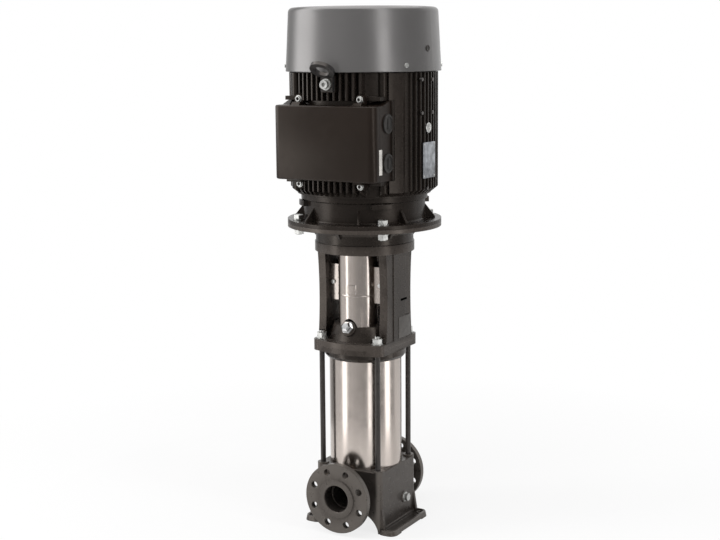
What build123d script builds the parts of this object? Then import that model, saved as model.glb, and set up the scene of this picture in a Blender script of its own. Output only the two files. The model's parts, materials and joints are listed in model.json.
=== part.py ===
from build123d import *
import os
from math import cos, pi, radians, sin, sqrt

# Vertical multistage pump with its motor. Millimetres, +Z up, origin on the pump axis
# at the level of the feet. The inlet port looks along -Y and the outlet port along +Y.
os.makedirs("parts", exist_ok=True)

# Clearances
RUN = 0.05
SEAT = 0.1
SEAL_GAP = 0.05

# Ports
PORT_HEIGHT = 100
PORT_TO_PORT = 320
PORT_BORE_R = 35
PORT_BORE_LENGTH = 40
PORT_CHAMFER = 2
PASSAGE_R = 33.5
PORT_FLANGE_R = 92.5
PORT_FLANGE_T = 18
PORT_FACE_R = 52
PORT_FACE_RISE = 3
PORT_NECK_R = 50
PORT_NECK_FLARE = 10
PORT_PCD = 145
PORT_HOLES = 8
PORT_HOLE_R = 9

# Staybolts
ROD_PCD = 236
ROD_R = 7
ROD_THREAD_DEPTH = 30
ROD_TIP = 6
NUT_AF = 24
NUT_H = 13
WASHER_R = 15
WASHER_T = 3

# Base
BASE_CORNER_R = 15
BASE_TOP = 165
LUG_RISE = 4
ARCH_HALF = 90
ARCH_HEIGHT = 60
CHAMBER_FLOOR = 66
CHAMBER_R = 86
INLET_TUBE_R = 50
INLET_WELL_R = 42
INLET_TOP = 150
PIPE_WALL = 9
FOOT_BOLT_X = 240
FOOT_BOLT_Y = 170
FOOT_HOLE_R = 7
FOOT_OUTER_X = 139
FOOT_INNER_X = 86
FOOT_HALF_Y = 100
FOOT_T = 14
FOOT_CORNER_R = 20
FOOT_DRAFT = 12
FOOT_RELIEF_H = 2.5
FOOT_RELIEF_W = 12
FOOT_PAD_L = 42
POCKET_DEPTH = 7
POCKET_RIM = 10
POCKET_END_RIM = 6
BOLT_SEAT_R = 10.5
BOLT_SEAT_H = 3
WEB_TOP = 66
WEB_REACH = 10
WEB_T = 9
DRAIN_Y = 32
DRAIN_Z = 66
DRAIN_R = 8
DRAIN_DEPTH = 15
DRAIN_AF = 19
DRAIN_HEAD_H = 9
DRAIN_COLLAR_R = 13
DRAIN_COLLAR_H = 3
DRAIN_BOSS_R = 16
DRAIN_BOSS_RISE = 2

# Sleeve and stages
SLEEVE_R = 95.5
SLEEVE_WALL = 2.5
SLEEVE_SEAT_DEPTH = 12
GASKET_T = 2
STAGES = 4
STAGE_PITCH = 70
STACK_MARGIN = 25
CHAMBER_OUT_R = 82
CHAMBER_WALL = 2
CHAMBER_ROOF = 3
EYE_R = 36
VANE_H = 18
VANE_MID_OUT = 18
VANE_MID_LEAD = 14
VANE_END_LEAD = 40
VANE_T = 2.5
VANES = 7
GUIDE_DISC_T = 2
GUIDE_DISC_R = 68
GUIDE_HOLE_R = 21
CONNECTOR_H = 15
CONNECTOR_PLATE = 4
STRAP_W = 16
STRAP_T = 2
STRAP_HOOK = 10

# Impellers
IMPELLER_R = 70
IMPELLER_NECK_R = 34.5
IMPELLER_NECK_WALL = 3.5
IMPELLER_LIFT = 8
IMPELLER_SHROUD_T = 2.5
IMPELLER_WIDTH = 16
IMPELLER_HUB_R = 19
IMPELLER_HUB_H = 32
IMPELLER_BLADES = 6
BLADE_MID_OUT = 15.5
BLADE_MID_LAG = 16
BLADE_TIP_LAG = 28
BLADE_TIP_INSET = 6
BLADE_T = 3
SPACER_R = 17

# Pump shaft and bush
PUMP_SHAFT_R = 14
PUMP_SHAFT_BOTTOM = 146
BUSH_R = 20
BUSH_HUB_R = 26
SPIDER_ARMS = 3
SPIDER_ARM_W = 6

# Pump head
HEAD_LIP_H = 8
HEAD_LIP_R = 101.5
HEAD_RING_R = 108
HEAD_RING_H = 14
HEAD_FLANGE_T = 14
PLATE_CORNER_R = 20.5
PLATE_BOW = 17
DOME_H = 53
DOME_BASE_R = 98
DOME_TOP_R = 82
DOME_HALF_X = 77
HEAD_WALL = 10
SEAL_BORE_R = 31
SEAL_BORE_DEPTH = 31
VENT_TILT = 30
VENT_BOSS_R = 20
VENT_FACE_Y = 88
VENT_FACE_DROP = 3
VENT_THREAD_R = 11
VENT_THREAD_DEPTH = 16
VENT_HEX_AF = 30
VENT_HEX_H = 7
VENT_SCREW_AF = 24
VENT_SCREW_H = 12
VENT_SCREW_R = 5
VENT_SCREW_DEPTH = 14

# Shaft seal
SEAL_FLANGE_R = 45
SEAL_FLANGE_T = 8
SEAL_WALL = 3
SEAL_STAT_H = 8
SEAL_ROT_R = 24
SEAL_ROT_H = 15
SEAL_SHAFT_GAP = 1.5
SEAL_SCREW_R = 3
SEAL_SCREW_PCD = 76
SEAL_SCREW_DEPTH = 14

# Motor stool
STOOL_PLATE_T = 15
STOOL_HEIGHT = 321
STOOL_FLANGE_R = 200
STOOL_FLANGE_T = 10
STOOL_NECK_INSET = 47.5
STOOL_NECK_WALL = 14
STOOL_RING_RIM = 2.5
STOOL_RING_H = 24
STOOL_RING_DROP = 50
STOOL_BLEND_R = 16
STOOL_RING_BORE_R = 78
COLUMN_T = 24
COLUMN_HALF_Y = 70
COLUMN_WAIST = 7
COLUMN_PANEL_HALF_Y = 32
COLUMN_RELIEF = 2
STOOL_RIBS = 6
STOOL_RIB_T = 7
STOOL_RIB_REACH = 22
STOOL_RIB_H = 26
REGISTER_INSET = 25
REGISTER_W = 12
REGISTER_H = 5
REGISTER_GAP = 0.5
FLANGE_EDGE = 25
FLANGE_BOLT_R = 8
FLANGE_HOLE_R = 9.5

# Coupling guards
GUARD_R = 55
GUARD_CENTRE_Y = 29
GUARD_SHEET = 1.5
GUARD_TOP_GAP = 6
GUARD_TAB_Y = 42
GUARD_TAB_REACH = 76
GUARD_TAB_H = 95
GUARD_TAB_MID = 146
GUARD_LUG_H = 70
GUARD_LUG_T = 10
GUARD_SCREW_R = 3
GUARD_HEAD_R = 5.5
GUARD_HEAD_H = 4
GUARD_BOSS_CLEAR = 3

# Coupling
COUPLING_R = 46
COUPLING_LENGTH = 166
COUPLING_SPLIT = 1
COUPLING_SCREW_R = 5
COUPLING_SCREW_HEAD_R = 8
COUPLING_SCREW_HEAD_H = 10
COUPLING_SCREW_X = 35
COUPLING_SCREW_PITCH = 96
COUPLING_SPOT_Y = 20
SHAFT_END_GAP = 4

# Motor
MOTOR_SHAFT_R = 27.5
SHAFT_END_LENGTH = 106
SHIELD_FLANGE_T = 10
SHIELD_NECK_INSET = 17
SHIELD_WALL = 8
SHIELD_NECK_TOP = 61
SHIELD_RING_RIM = 6
SHIELD_SEAT_T = 4
SPIGOT_H = 4
LEDGE_W = 52
LEDGE_T = 14
LEDGE_OUT = 12
SHIELD_HEIGHT = 81
SHIELD_HOLE_R = 30
SHIELD_FLOOR_T = 17
GUSSETS = 8
GUSSET_SPREAD = 20
GUSSET_T = 6
GUSSET_H = 36
GUSSET_REACH = 26
BEARING_BORE_R = 32.5
BEARING_OUT_R = 70
BEARING_W = 33
BEARING_HUB_R = 80
BALL_R = 11.5
BALLS = 8
CAGE_T = 3
HOUSING_LENGTH = 304
HOUSING_WALL = 8
FIN_DEPTH = 18
FIN_CHAMFER_H = 13
FIN_CHAMFER_ROOT = 3
FINS = 12
FIN_PITCH = 16
FIN_T = 4.5
PAD_DROP = 4
PAD_START = 49
PAD_END = 66
PAD_RIB_ANGLE = 45.5
PAD_RIB_R = 11
STATOR_DEPTH = 65
CORE_LENGTH = 180
CORE_START = 38
AIR_GAP = 0.6
CORE_SHAFT_R = 38
WINDING_GAP = 8
WINDING_CLEAR = 15
WINDING_H = 33
END_RING_IN_R = 60
END_RING_H = 15

# Fan end
FAN_SHIELD_T = 10
FAN_SHIELD_INSET = 1
FAN_HUB_DROP = 6
FAN_LUG_W = 24
FAN_SHAFT_R = 24
FAN_TIP_CLEAR = 41.3
FAN_HUB_R = 40
FAN_HUB_H = 34
FAN_BLADES = 8
FAN_BLADE_T = 3
FAN_BLADE_H = 46
FAN_START = 18
COVER_GAP = 2
COVER_HEIGHT = 159
COVER_R = 199.2
COVER_TAPER = 7.9
COVER_OVERHANG = 8.2
COVER_SHEET = 2
COVER_EDGE_R = 12
COVER_SCREWS = 6
COVER_SCREW_ANGLE = -28.5
COVER_SCREW_LIFT = 15
COVER_SCREW_R = 3
COVER_SCREW_HEAD_R = 6
COVER_SCREW_HEAD_H = 3
COVER_SCREW_LENGTH = 12
GRILLE_RINGS = 5
GRILLE_START_R = 52
GRILLE_SLOT = 14
GRILLE_STEP = 23
GRILLE_SPOKES = 4
GRILLE_SPOKE_W = 12

# Terminal box
BOX_HALF_X = 145
BOX_COVER_DEPTH = 27
BOX_SEAM_RISE = 5
BOX_BACK_Y = 92
BOX_BOTTOM_LIFT = 40.5
BOX_HEIGHT = 184.5
BOX_RISE = 11
BOX_SLOPE = 30
BOX_WALL = 4
BOX_CORNER_R = 18.5
BOX_EDGE_R = 3
BOX_SADDLE_SINK = 2
BOX_CLEAR = 0.5
BOX_GASKET_T = 1.5
BAR_HALF_X = 137
BAR_BACK_Y = 105
BAR_H = 10
EAR_X = 88
EAR_ABOVE = 15
EAR_BELOW = 12.5
EAR_SETBACK = 20
EAR_REACH = 12
EAR_CLEAR = 0.3
EAR_R = 12
EAR_T = 14
BOX_SCREW_R = 4
BOX_SCREW_HEAD_R = 7
BOX_SCREW_HEAD_H = 6
BOX_SCREW_DEPTH = 12
ENTRY_R = 20
ENTRY_RIM_R = 23.5
ENTRY_RIM_H = 4
ENTRY_DISH_R = 18
ENTRY_DISH_DEPTH = 2
ENTRY_BAR_W = 5
ENTRY_BAR_L = 26
ENTRY_SETBACK = 41
ENTRY_PITCH = 96
BOARD_W = 100
BOARD_H = 60
BOARD_T = 8
BOARD_PAD_MARGIN = 10
BOARD_PAD_SETBACK = 0.5
STUD_R = 3
STUD_LENGTH = 9
STUD_NUT_AF = 10
STUD_NUT_H = 4
STUD_PITCH_X = 32
STUD_PITCH_Z = 30

# Lifting lugs
LUG_X = 11
LUG_SCREW_DROP = 29
LUG_PAD_W = 34
LUG_PAD_H = 40
LUG_T = 9
LUG_STRAP_DOWN = 18
LUG_STRAP_UP = 16
LUG_EYE_OUT_R = 31
LUG_EYE_IN_R = 18
LUG_EYE_REACH = 27
LUG_EYE_ROOT = 4
LUG_TILT = 55
LUG_SCREW_R = 8
LUG_COLLAR_R = 14
LUG_COLLAR_H = 5
LUG_SCREW_HEAD_R = 11
LUG_SCREW_HEAD_H = 10
LUG_SOCKET_AF = 10
LUG_SOCKET_DEPTH = 6
LUG_SCREW_DEPTH = 14

# Places that follow from the driving dimensions
ROD_HALF = ROD_PCD / 2 / sqrt(2)
BASE_HALF = ROD_HALF + BASE_CORNER_R
LUG_TOP = BASE_TOP + LUG_RISE
PORT_HALF = PORT_TO_PORT / 2
SEAT_LEDGE = BASE_TOP - SLEEVE_SEAT_DEPTH
SLEEVE_BOTTOM = SEAT_LEDGE + GASKET_T
SLEEVE_LENGTH = STAGES * STAGE_PITCH + STACK_MARGIN
SLEEVE_TOP = SLEEVE_BOTTOM + SLEEVE_LENGTH
HEAD_LEDGE = SLEEVE_TOP + GASKET_T
HEAD_LIP_BOTTOM = HEAD_LEDGE - HEAD_LIP_H
HEAD_FLANGE_BOTTOM = HEAD_LEDGE + HEAD_RING_H
STOOL_BOTTOM = HEAD_FLANGE_BOTTOM + HEAD_FLANGE_T
PLATE_TOP = STOOL_BOTTOM + STOOL_PLATE_T
DOME_TOP = STOOL_BOTTOM + DOME_H
STOOL_TOP = STOOL_BOTTOM + STOOL_HEIGHT
STOOL_FLANGE_BOTTOM = STOOL_TOP - STOOL_FLANGE_T
STOOL_RING_TOP = STOOL_TOP - STOOL_RING_DROP
STOOL_RING_BOTTOM = STOOL_RING_TOP - STOOL_RING_H
PLATE_HALF = ROD_HALF + PLATE_CORNER_R
COLUMN_X = PLATE_HALF
GUARD_BOTTOM = DOME_TOP
GUARD_TOP = STOOL_RING_BOTTOM - GUARD_TOP_GAP
GUARD_TAB_Z = PLATE_TOP + GUARD_TAB_MID
STACK_BOTTOM = INLET_TOP + CONNECTOR_H
STACK_TOP = STACK_BOTTOM + STAGES * STAGE_PITCH
SEAL_BORE_BOTTOM = DOME_TOP - SEAL_BORE_DEPTH
SEAL_FACE = SEAL_BORE_BOTTOM + SEAL_STAT_H
SHAFT_END = STOOL_TOP - SHAFT_END_LENGTH
PUMP_SHAFT_TOP = SHAFT_END - SHAFT_END_GAP
COUPLING_TOP = SHAFT_END + COUPLING_LENGTH / 2 - 10
COUPLING_BOTTOM = COUPLING_TOP - COUPLING_LENGTH
SHIELD_TOP = STOOL_TOP + SHIELD_HEIGHT
BEARING_SEAT = STOOL_TOP + SHIELD_FLANGE_T + SHIELD_FLOOR_T
FLANGE_BOLT_PCR = STOOL_FLANGE_R - FLANGE_EDGE
REGISTER_R = FLANGE_BOLT_PCR - REGISTER_INSET
STOOL_NECK_R = FLANGE_BOLT_PCR - STOOL_NECK_INSET
STOOL_RING_R = STOOL_NECK_R + STOOL_RING_RIM
SHIELD_NECK_R = FLANGE_BOLT_PCR - SHIELD_NECK_INSET
SHIELD_RING_R = SHIELD_NECK_R + SHIELD_RING_RIM
COVER_TOP_R = COVER_R - COVER_TAPER
FIN_TIP_R = COVER_R - COVER_OVERHANG
HOUSING_ROOT_R = FIN_TIP_R - FIN_DEPTH
HOUSING_BORE_R = HOUSING_ROOT_R - HOUSING_WALL
CORE_R = HOUSING_BORE_R - STATOR_DEPTH
PAD_R = FIN_TIP_R - PAD_DROP
WINDING_IN_R = CORE_R + WINDING_GAP
WINDING_OUT_R = HOUSING_BORE_R - WINDING_CLEAR
FAN_SHIELD_R = HOUSING_ROOT_R - FAN_SHIELD_INSET
FAN_R = COVER_TOP_R - FAN_TIP_CLEAR
LUG_PAD_Y = FIN_TIP_R
HOUSING_TOP = SHIELD_TOP + HOUSING_LENGTH
FAN_BEARING = HOUSING_TOP - FAN_HUB_DROP
CORE_BOTTOM = SHIELD_TOP + CORE_START
CORE_TOP = CORE_BOTTOM + CORE_LENGTH
COVER_BOTTOM = HOUSING_TOP + COVER_GAP
COVER_TOP = COVER_BOTTOM + COVER_HEIGHT
FAN_BOTTOM = FAN_BEARING + BEARING_W + FAN_START
BOX_BOTTOM = SHIELD_TOP + BOX_BOTTOM_LIFT
BOX_MID = BOX_BOTTOM + BOX_HEIGHT / 2
BOX_TOP = BOX_BOTTOM + BOX_HEIGHT
BOX_SADDLE_R = HOUSING_ROOT_R - BOX_SADDLE_SINK
BOX_SEAM_Y = HOUSING_ROOT_R + BOX_SEAM_RISE
BOX_FRONT_Y = BOX_SEAM_Y + BOX_COVER_DEPTH
EAR_SEAT_Y = BOX_SEAM_Y - EAR_SETBACK
ENTRY_Y = BOX_SEAM_Y - ENTRY_SETBACK
BALL_PITCH_R = (BEARING_BORE_R + BEARING_OUT_R) / 2
LUG_SCREW_Z = COVER_BOTTOM - LUG_SCREW_DROP
VENT_FACE_Z = DOME_TOP - VENT_FACE_DROP

rod_points = [(sx * ROD_HALF, sy * ROD_HALF) for sx in (1, -1) for sy in (1, -1)]
flange_bolt_half = FLANGE_BOLT_PCR / sqrt(2)
flange_points = [(sx * flange_bolt_half, sy * flange_bolt_half) for sx in (1, -1) for sy in (1, -1)]
port_axis = Axis((0, 0, PORT_HEIGHT), (0, 1, 0))
vent_plane = Plane(
    origin=(0, -VENT_FACE_Y, VENT_FACE_Z),
    x_dir=(1, 0, 0),
    z_dir=(0, -cos(radians(VENT_TILT)), sin(radians(VENT_TILT))),
)


def hexagon_r(across_flats):
    """Corner radius of a hexagon from its width across flats."""
    return across_flats / sqrt(3)


# Base casting: square body with lugs for the rods, two ports in line, arch and two feet
with BuildPart() as base_casting:
    with BuildSketch(Plane.XY):
        RectangleRounded(2 * BASE_HALF, 2 * BASE_HALF, BASE_CORNER_R)
    extrude(amount=BASE_TOP)
    with BuildSketch(Plane.XY.offset(BASE_TOP - LUG_RISE)):
        with Locations(*rod_points):
            Circle(BASE_CORNER_R)
    extrude(amount=2 * LUG_RISE)
    foot_mid = (FOOT_OUTER_X + FOOT_INNER_X) / 2
    with BuildSketch(Plane.XY):
        with Locations((foot_mid, 0), (-foot_mid, 0)):
            RectangleRounded(FOOT_OUTER_X - FOOT_INNER_X, 2 * FOOT_HALF_Y, FOOT_CORNER_R)
    extrude(amount=FOOT_T, taper=FOOT_DRAFT)
    with BuildSketch(Plane.XZ.offset(-FOOT_HALF_Y)):
        Ellipse(ARCH_HALF, ARCH_HEIGHT)
    extrude(amount=2 * FOOT_HALF_Y, mode=Mode.SUBTRACT)
    # Port: raised face, flange and flared neck, turned about the port axis
    with BuildSketch(Plane.YZ):
        with BuildLine():
            Polyline(
                (0, PORT_HEIGHT),
                (-PORT_HALF, PORT_HEIGHT),
                (-PORT_HALF, PORT_HEIGHT + PORT_FACE_R),
                (-PORT_HALF + PORT_FACE_RISE, PORT_HEIGHT + PORT_FACE_R),
                (-PORT_HALF + PORT_FACE_RISE, PORT_HEIGHT + PORT_FLANGE_R),
                (-PORT_HALF + PORT_FLANGE_T, PORT_HEIGHT + PORT_FLANGE_R),
                (-PORT_HALF + PORT_FLANGE_T, PORT_HEIGHT + PORT_NECK_R + PORT_NECK_FLARE),
                (-PORT_HALF + PORT_FLANGE_T + PORT_NECK_FLARE, PORT_HEIGHT + PORT_NECK_R),
                (0, PORT_HEIGHT + PORT_NECK_R),
                close=True,
            )
        make_face()
    revolve(axis=port_axis)
    mirror(about=Plane.XZ)
    # Ring chamber for the outlet side, with the inlet pipe running through it
    with BuildSketch(Plane.XY.offset(CHAMBER_FLOOR)):
        Circle(CHAMBER_R)
        Circle(INLET_TUBE_R, mode=Mode.SUBTRACT)
    extrude(amount=BASE_TOP - CHAMBER_FLOOR, mode=Mode.SUBTRACT)
    with BuildSketch(Plane.XZ):
        with Locations((0, PORT_HEIGHT)):
            Circle(PASSAGE_R + PIPE_WALL)
    extrude(amount=CHAMBER_R + 2)
    with BuildSketch(Plane.XY.offset(INLET_TOP)):
        Circle(CHAMBER_R)
    extrude(amount=BASE_TOP, mode=Mode.SUBTRACT)
    with BuildSketch(Plane.XY.offset(SEAT_LEDGE)):
        Circle(SLEEVE_R + SEAT)
    extrude(amount=BASE_TOP, mode=Mode.SUBTRACT)
    with BuildSketch(Plane.XY.offset(PORT_HEIGHT - PASSAGE_R)):
        Circle(INLET_WELL_R)
    extrude(amount=BASE_TOP, mode=Mode.SUBTRACT)
    with BuildSketch(Plane.XZ):
        with Locations((0, PORT_HEIGHT)):
            Circle(PASSAGE_R)
    extrude(amount=PORT_HALF, mode=Mode.SUBTRACT)
    with BuildSketch(Plane.XZ.offset(-PORT_HALF)):
        with Locations((0, PORT_HEIGHT)):
            Circle(PASSAGE_R)
    extrude(amount=PORT_HALF - INLET_TUBE_R - PIPE_WALL, mode=Mode.SUBTRACT)
    for side in (1, -1):
        with BuildSketch(Plane.XZ.offset(side * PORT_HALF)):
            with Locations((0, PORT_HEIGHT)):
                Circle(PORT_BORE_R)
        extrude(amount=-side * PORT_BORE_LENGTH, mode=Mode.SUBTRACT)
        with BuildSketch(Plane.XZ.offset(side * PORT_HALF)):
            with Locations((0, PORT_HEIGHT)):
                with PolarLocations(PORT_PCD / 2, PORT_HOLES, start_angle=180 / PORT_HOLES):
                    Circle(PORT_HOLE_R)
        extrude(amount=-side * (PORT_FLANGE_T + PORT_FACE_RISE), mode=Mode.SUBTRACT)
    port_mouths = base_casting.edges().filter_by(GeomType.CIRCLE)
    port_mouths = port_mouths.filter_by(lambda e: abs(abs(e.center().Y) - PORT_HALF) < RUN)
    chamfer(port_mouths.filter_by(lambda e: abs(e.radius - PORT_BORE_R) < RUN), PORT_CHAMFER)
    # Foot pockets with raised seats for the bolts
    pocket_in = BASE_HALF + POCKET_RIM / 3
    pocket_out = FOOT_OUTER_X - POCKET_RIM
    with BuildSketch(Plane.XY.offset(FOOT_T - POCKET_DEPTH)):
        with Locations(((pocket_in + pocket_out) / 2, 0), (-(pocket_in + pocket_out) / 2, 0)):
            RectangleRounded(pocket_out - pocket_in, 2 * (FOOT_HALF_Y - POCKET_END_RIM), FOOT_CORNER_R / 2)
    extrude(amount=POCKET_DEPTH, mode=Mode.SUBTRACT)
    # Webs from the corners down to the feet
    web_in = BASE_HALF - WEB_T
    web_far = ROD_HALF + WEB_T
    for side in (1, -1):
        for wing in (1, -1):
            with BuildSketch(Plane.XZ.offset(-wing * web_far)):
                with BuildLine():
                    Polyline(
                        (side * web_in, WEB_TOP),
                        (side * (BASE_HALF - RUN), WEB_TOP),
                        (side * (BASE_HALF + WEB_REACH), FOOT_T - POCKET_DEPTH),
                        (side * web_in, FOOT_T - POCKET_DEPTH),
                        close=True,
                    )
                make_face()
            extrude(amount=wing * WEB_T)
    # Feet stand on pads at their ends
    relief_x = FOOT_OUTER_X - FOOT_RELIEF_W / 2
    with BuildSketch(Plane.XY):
        with Locations((relief_x, 0), (-relief_x, 0)):
            Rectangle(FOOT_RELIEF_W, 2 * (FOOT_HALF_Y - FOOT_PAD_L))
    extrude(amount=FOOT_RELIEF_H, mode=Mode.SUBTRACT)
    with BuildSketch(Plane.XY.offset(FOOT_T - POCKET_DEPTH)):
        with GridLocations(FOOT_BOLT_X, FOOT_BOLT_Y, 2, 2):
            Circle(BOLT_SEAT_R)
    extrude(amount=BOLT_SEAT_H)
    with BuildSketch(Plane.XY):
        with GridLocations(FOOT_BOLT_X, FOOT_BOLT_Y, 2, 2):
            Circle(FOOT_HOLE_R)
    extrude(amount=FOOT_T, mode=Mode.SUBTRACT)
    # Drain boss and its hole on the +X face
    with BuildSketch(Plane.YZ.offset(BASE_HALF)):
        with Locations((DRAIN_Y, DRAIN_Z)):
            Circle(DRAIN_BOSS_R)
    extrude(amount=DRAIN_BOSS_RISE)
    with BuildSketch(Plane.YZ.offset(BASE_HALF + DRAIN_BOSS_RISE)):
        with Locations((DRAIN_Y, DRAIN_Z)):
            Circle(DRAIN_R + SEAT)
    extrude(amount=-(DRAIN_DEPTH + 6), mode=Mode.SUBTRACT)
    with BuildSketch(Plane.XY.offset(LUG_TOP)):
        with Locations(*rod_points):
            Circle(ROD_R + SEAT)
    extrude(amount=-ROD_THREAD_DEPTH, mode=Mode.SUBTRACT)
base_casting.part.label = "base_casting"
export_step(base_casting.part, "parts/base_casting.step")

with BuildPart() as base_drain_plug:
    with BuildSketch(Plane.YZ.offset(BASE_HALF + DRAIN_BOSS_RISE)):
        with Locations((DRAIN_Y, DRAIN_Z)):
            Circle(DRAIN_COLLAR_R)
    extrude(amount=DRAIN_COLLAR_H)
    with BuildSketch(Plane.YZ.offset(BASE_HALF + DRAIN_BOSS_RISE + DRAIN_COLLAR_H)):
        with Locations((DRAIN_Y, DRAIN_Z)):
            RegularPolygon(hexagon_r(DRAIN_AF), 6)
    extrude(amount=DRAIN_HEAD_H)
    with BuildSketch(Plane.YZ.offset(BASE_HALF + DRAIN_BOSS_RISE)):
        with Locations((DRAIN_Y, DRAIN_Z)):
            Circle(DRAIN_R)
    extrude(amount=-DRAIN_DEPTH)
base_drain_plug.part.label = "base_drain_plug"
export_step(base_drain_plug.part, "parts/base_drain_plug.step")

# Outer sleeve and the flat seals at its two ends
with BuildPart() as outer_sleeve:
    with BuildSketch(Plane.XY.offset(SLEEVE_BOTTOM)):
        Circle(SLEEVE_R)
        Circle(SLEEVE_R - SLEEVE_WALL, mode=Mode.SUBTRACT)
    extrude(amount=SLEEVE_LENGTH)
outer_sleeve.part.label = "outer_sleeve"
export_step(outer_sleeve.part, "parts/outer_sleeve.step")

with BuildPart() as sleeve_seals:
    for level in (SEAT_LEDGE, SLEEVE_TOP):
        with BuildSketch(Plane.XY.offset(level)):
            Circle(SLEEVE_R)
            Circle(SLEEVE_R - SLEEVE_WALL, mode=Mode.SUBTRACT)
        extrude(amount=GASKET_T)
sleeve_seals.part.label = "sleeve_seals"
export_step(sleeve_seals.part, "parts/sleeve_seals.step")

# Staybolts with their nuts and washers
ROD_BOTTOM = LUG_TOP - ROD_THREAD_DEPTH
NUT_BOTTOM = PLATE_TOP + WASHER_T
with BuildPart() as staybolts:
    with BuildSketch(Plane.XY.offset(ROD_BOTTOM)):
        with Locations(*rod_points):
            Circle(ROD_R)
    extrude(amount=NUT_BOTTOM + NUT_H + ROD_TIP - ROD_BOTTOM)
staybolts.part.label = "staybolts"
export_step(staybolts.part, "parts/staybolts.step")

with BuildPart() as staybolt_washers:
    with BuildSketch(Plane.XY.offset(PLATE_TOP)):
        with Locations(*rod_points):
            Circle(WASHER_R)
            Circle(ROD_R + SEAT, mode=Mode.SUBTRACT)
    extrude(amount=WASHER_T)
staybolt_washers.part.label = "staybolt_washers"
export_step(staybolt_washers.part, "parts/staybolt_washers.step")

with BuildPart() as staybolt_nuts:
    with BuildSketch(Plane.XY.offset(NUT_BOTTOM)):
        with Locations(*rod_points):
            RegularPolygon(hexagon_r(NUT_AF), 6)
            Circle(ROD_R + SEAT, mode=Mode.SUBTRACT)
    extrude(amount=NUT_H)
staybolt_nuts.part.label = "staybolt_nuts"
export_step(staybolt_nuts.part, "parts/staybolt_nuts.step")

# Suction interconnector: cone between the inlet well and the first stage, with the bush hub
with BuildPart() as suction_interconnector:
    with BuildSketch(Plane.XZ):
        with BuildLine():
            Polyline(
                (EYE_R + 2, INLET_TOP),
                (INLET_TUBE_R, INLET_TOP),
                (INLET_TUBE_R, INLET_TOP + CONNECTOR_PLATE),
                (CHAMBER_OUT_R, STACK_BOTTOM - CONNECTOR_PLATE / 2),
                (CHAMBER_OUT_R, STACK_BOTTOM),
                (EYE_R, STACK_BOTTOM),
                (EYE_R, STACK_BOTTOM - CONNECTOR_PLATE),
                (EYE_R + 2, STACK_BOTTOM - CONNECTOR_PLATE),
                close=True,
            )
        make_face()
    revolve(axis=Axis.Z)
    with BuildSketch(Plane.XY.offset(INLET_TOP)):
        with PolarLocations(EYE_R / 2 + BUSH_R / 2 + 2, SPIDER_ARMS):
            Rectangle(EYE_R - BUSH_R, SPIDER_ARM_W)
        Circle(BUSH_HUB_R)
        Circle(BUSH_R + SEAT, mode=Mode.SUBTRACT)
    extrude(amount=CONNECTOR_H - CONNECTOR_PLATE)
suction_interconnector.part.label = "suction_interconnector"
export_step(suction_interconnector.part, "parts/suction_interconnector.step")

with BuildPart() as shaft_bush:
    with BuildSketch(Plane.XY.offset(INLET_TOP)):
        Circle(BUSH_R)
        Circle(PUMP_SHAFT_R + RUN, mode=Mode.SUBTRACT)
    extrude(amount=CONNECTOR_H - CONNECTOR_PLATE)
shaft_bush.part.label = "shaft_bush"
export_step(shaft_bush.part, "parts/shaft_bush.step")

# Chambers: a cup open below, with return vanes and a guide disc under its roof
for stage in range(STAGES):
    floor = STACK_BOTTOM + stage * STAGE_PITCH
    roof = floor + STAGE_PITCH - CHAMBER_ROOF
    with BuildPart() as chamber:
        with BuildSketch(Plane.XY.offset(floor)):
            Circle(CHAMBER_OUT_R)
            Circle(CHAMBER_OUT_R - CHAMBER_WALL, mode=Mode.SUBTRACT)
        extrude(amount=STAGE_PITCH)
        with BuildSketch(Plane.XY.offset(roof)):
            Circle(CHAMBER_OUT_R - CHAMBER_WALL / 2)
            Circle(EYE_R, mode=Mode.SUBTRACT)
        extrude(amount=CHAMBER_ROOF)
        with BuildSketch(Plane.XY.offset(roof - VANE_H)):
            with PolarLocations(0, VANES):
                with BuildLine():
                    ThreePointArc(
                        (EYE_R + 2, 0),
                        (EYE_R + VANE_MID_OUT, VANE_MID_LEAD),
                        (GUIDE_DISC_R - 2, VANE_END_LEAD),
                    )
                    offset(amount=VANE_T / 2)
                make_face()
        extrude(amount=VANE_H)
        with BuildSketch(Plane.XY.offset(roof - VANE_H - GUIDE_DISC_T)):
            Circle(GUIDE_DISC_R + 8)
            Circle(GUIDE_HOLE_R, mode=Mode.SUBTRACT)
        extrude(amount=GUIDE_DISC_T)
    chamber.part.label = f"chamber_{stage + 1}"
    export_step(chamber.part, f"parts/chamber_{stage + 1}.step")

with BuildPart() as chamber_straps:
    for side in (1, -1):
        inner = side * (CHAMBER_OUT_R + SEAT)
        outer = side * (CHAMBER_OUT_R + SEAT + STRAP_T)
        hook = side * (CHAMBER_OUT_R - STRAP_HOOK)
        with BuildSketch(Plane.XZ.offset(-STRAP_W / 2)):
            with BuildLine():
                Polyline(
                    (outer, STACK_BOTTOM - CONNECTOR_PLATE / 2),
                    (outer, STACK_TOP + STRAP_T),
                    (hook, STACK_TOP + STRAP_T),
                    (hook, STACK_TOP),
                    (inner, STACK_TOP),
                    (inner, STACK_BOTTOM - CONNECTOR_PLATE / 2),
                    close=True,
                )
            make_face()
        extrude(amount=STRAP_W)
chamber_straps.part.label = "chamber_straps"
export_step(chamber_straps.part, "parts/chamber_straps.step")

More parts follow.
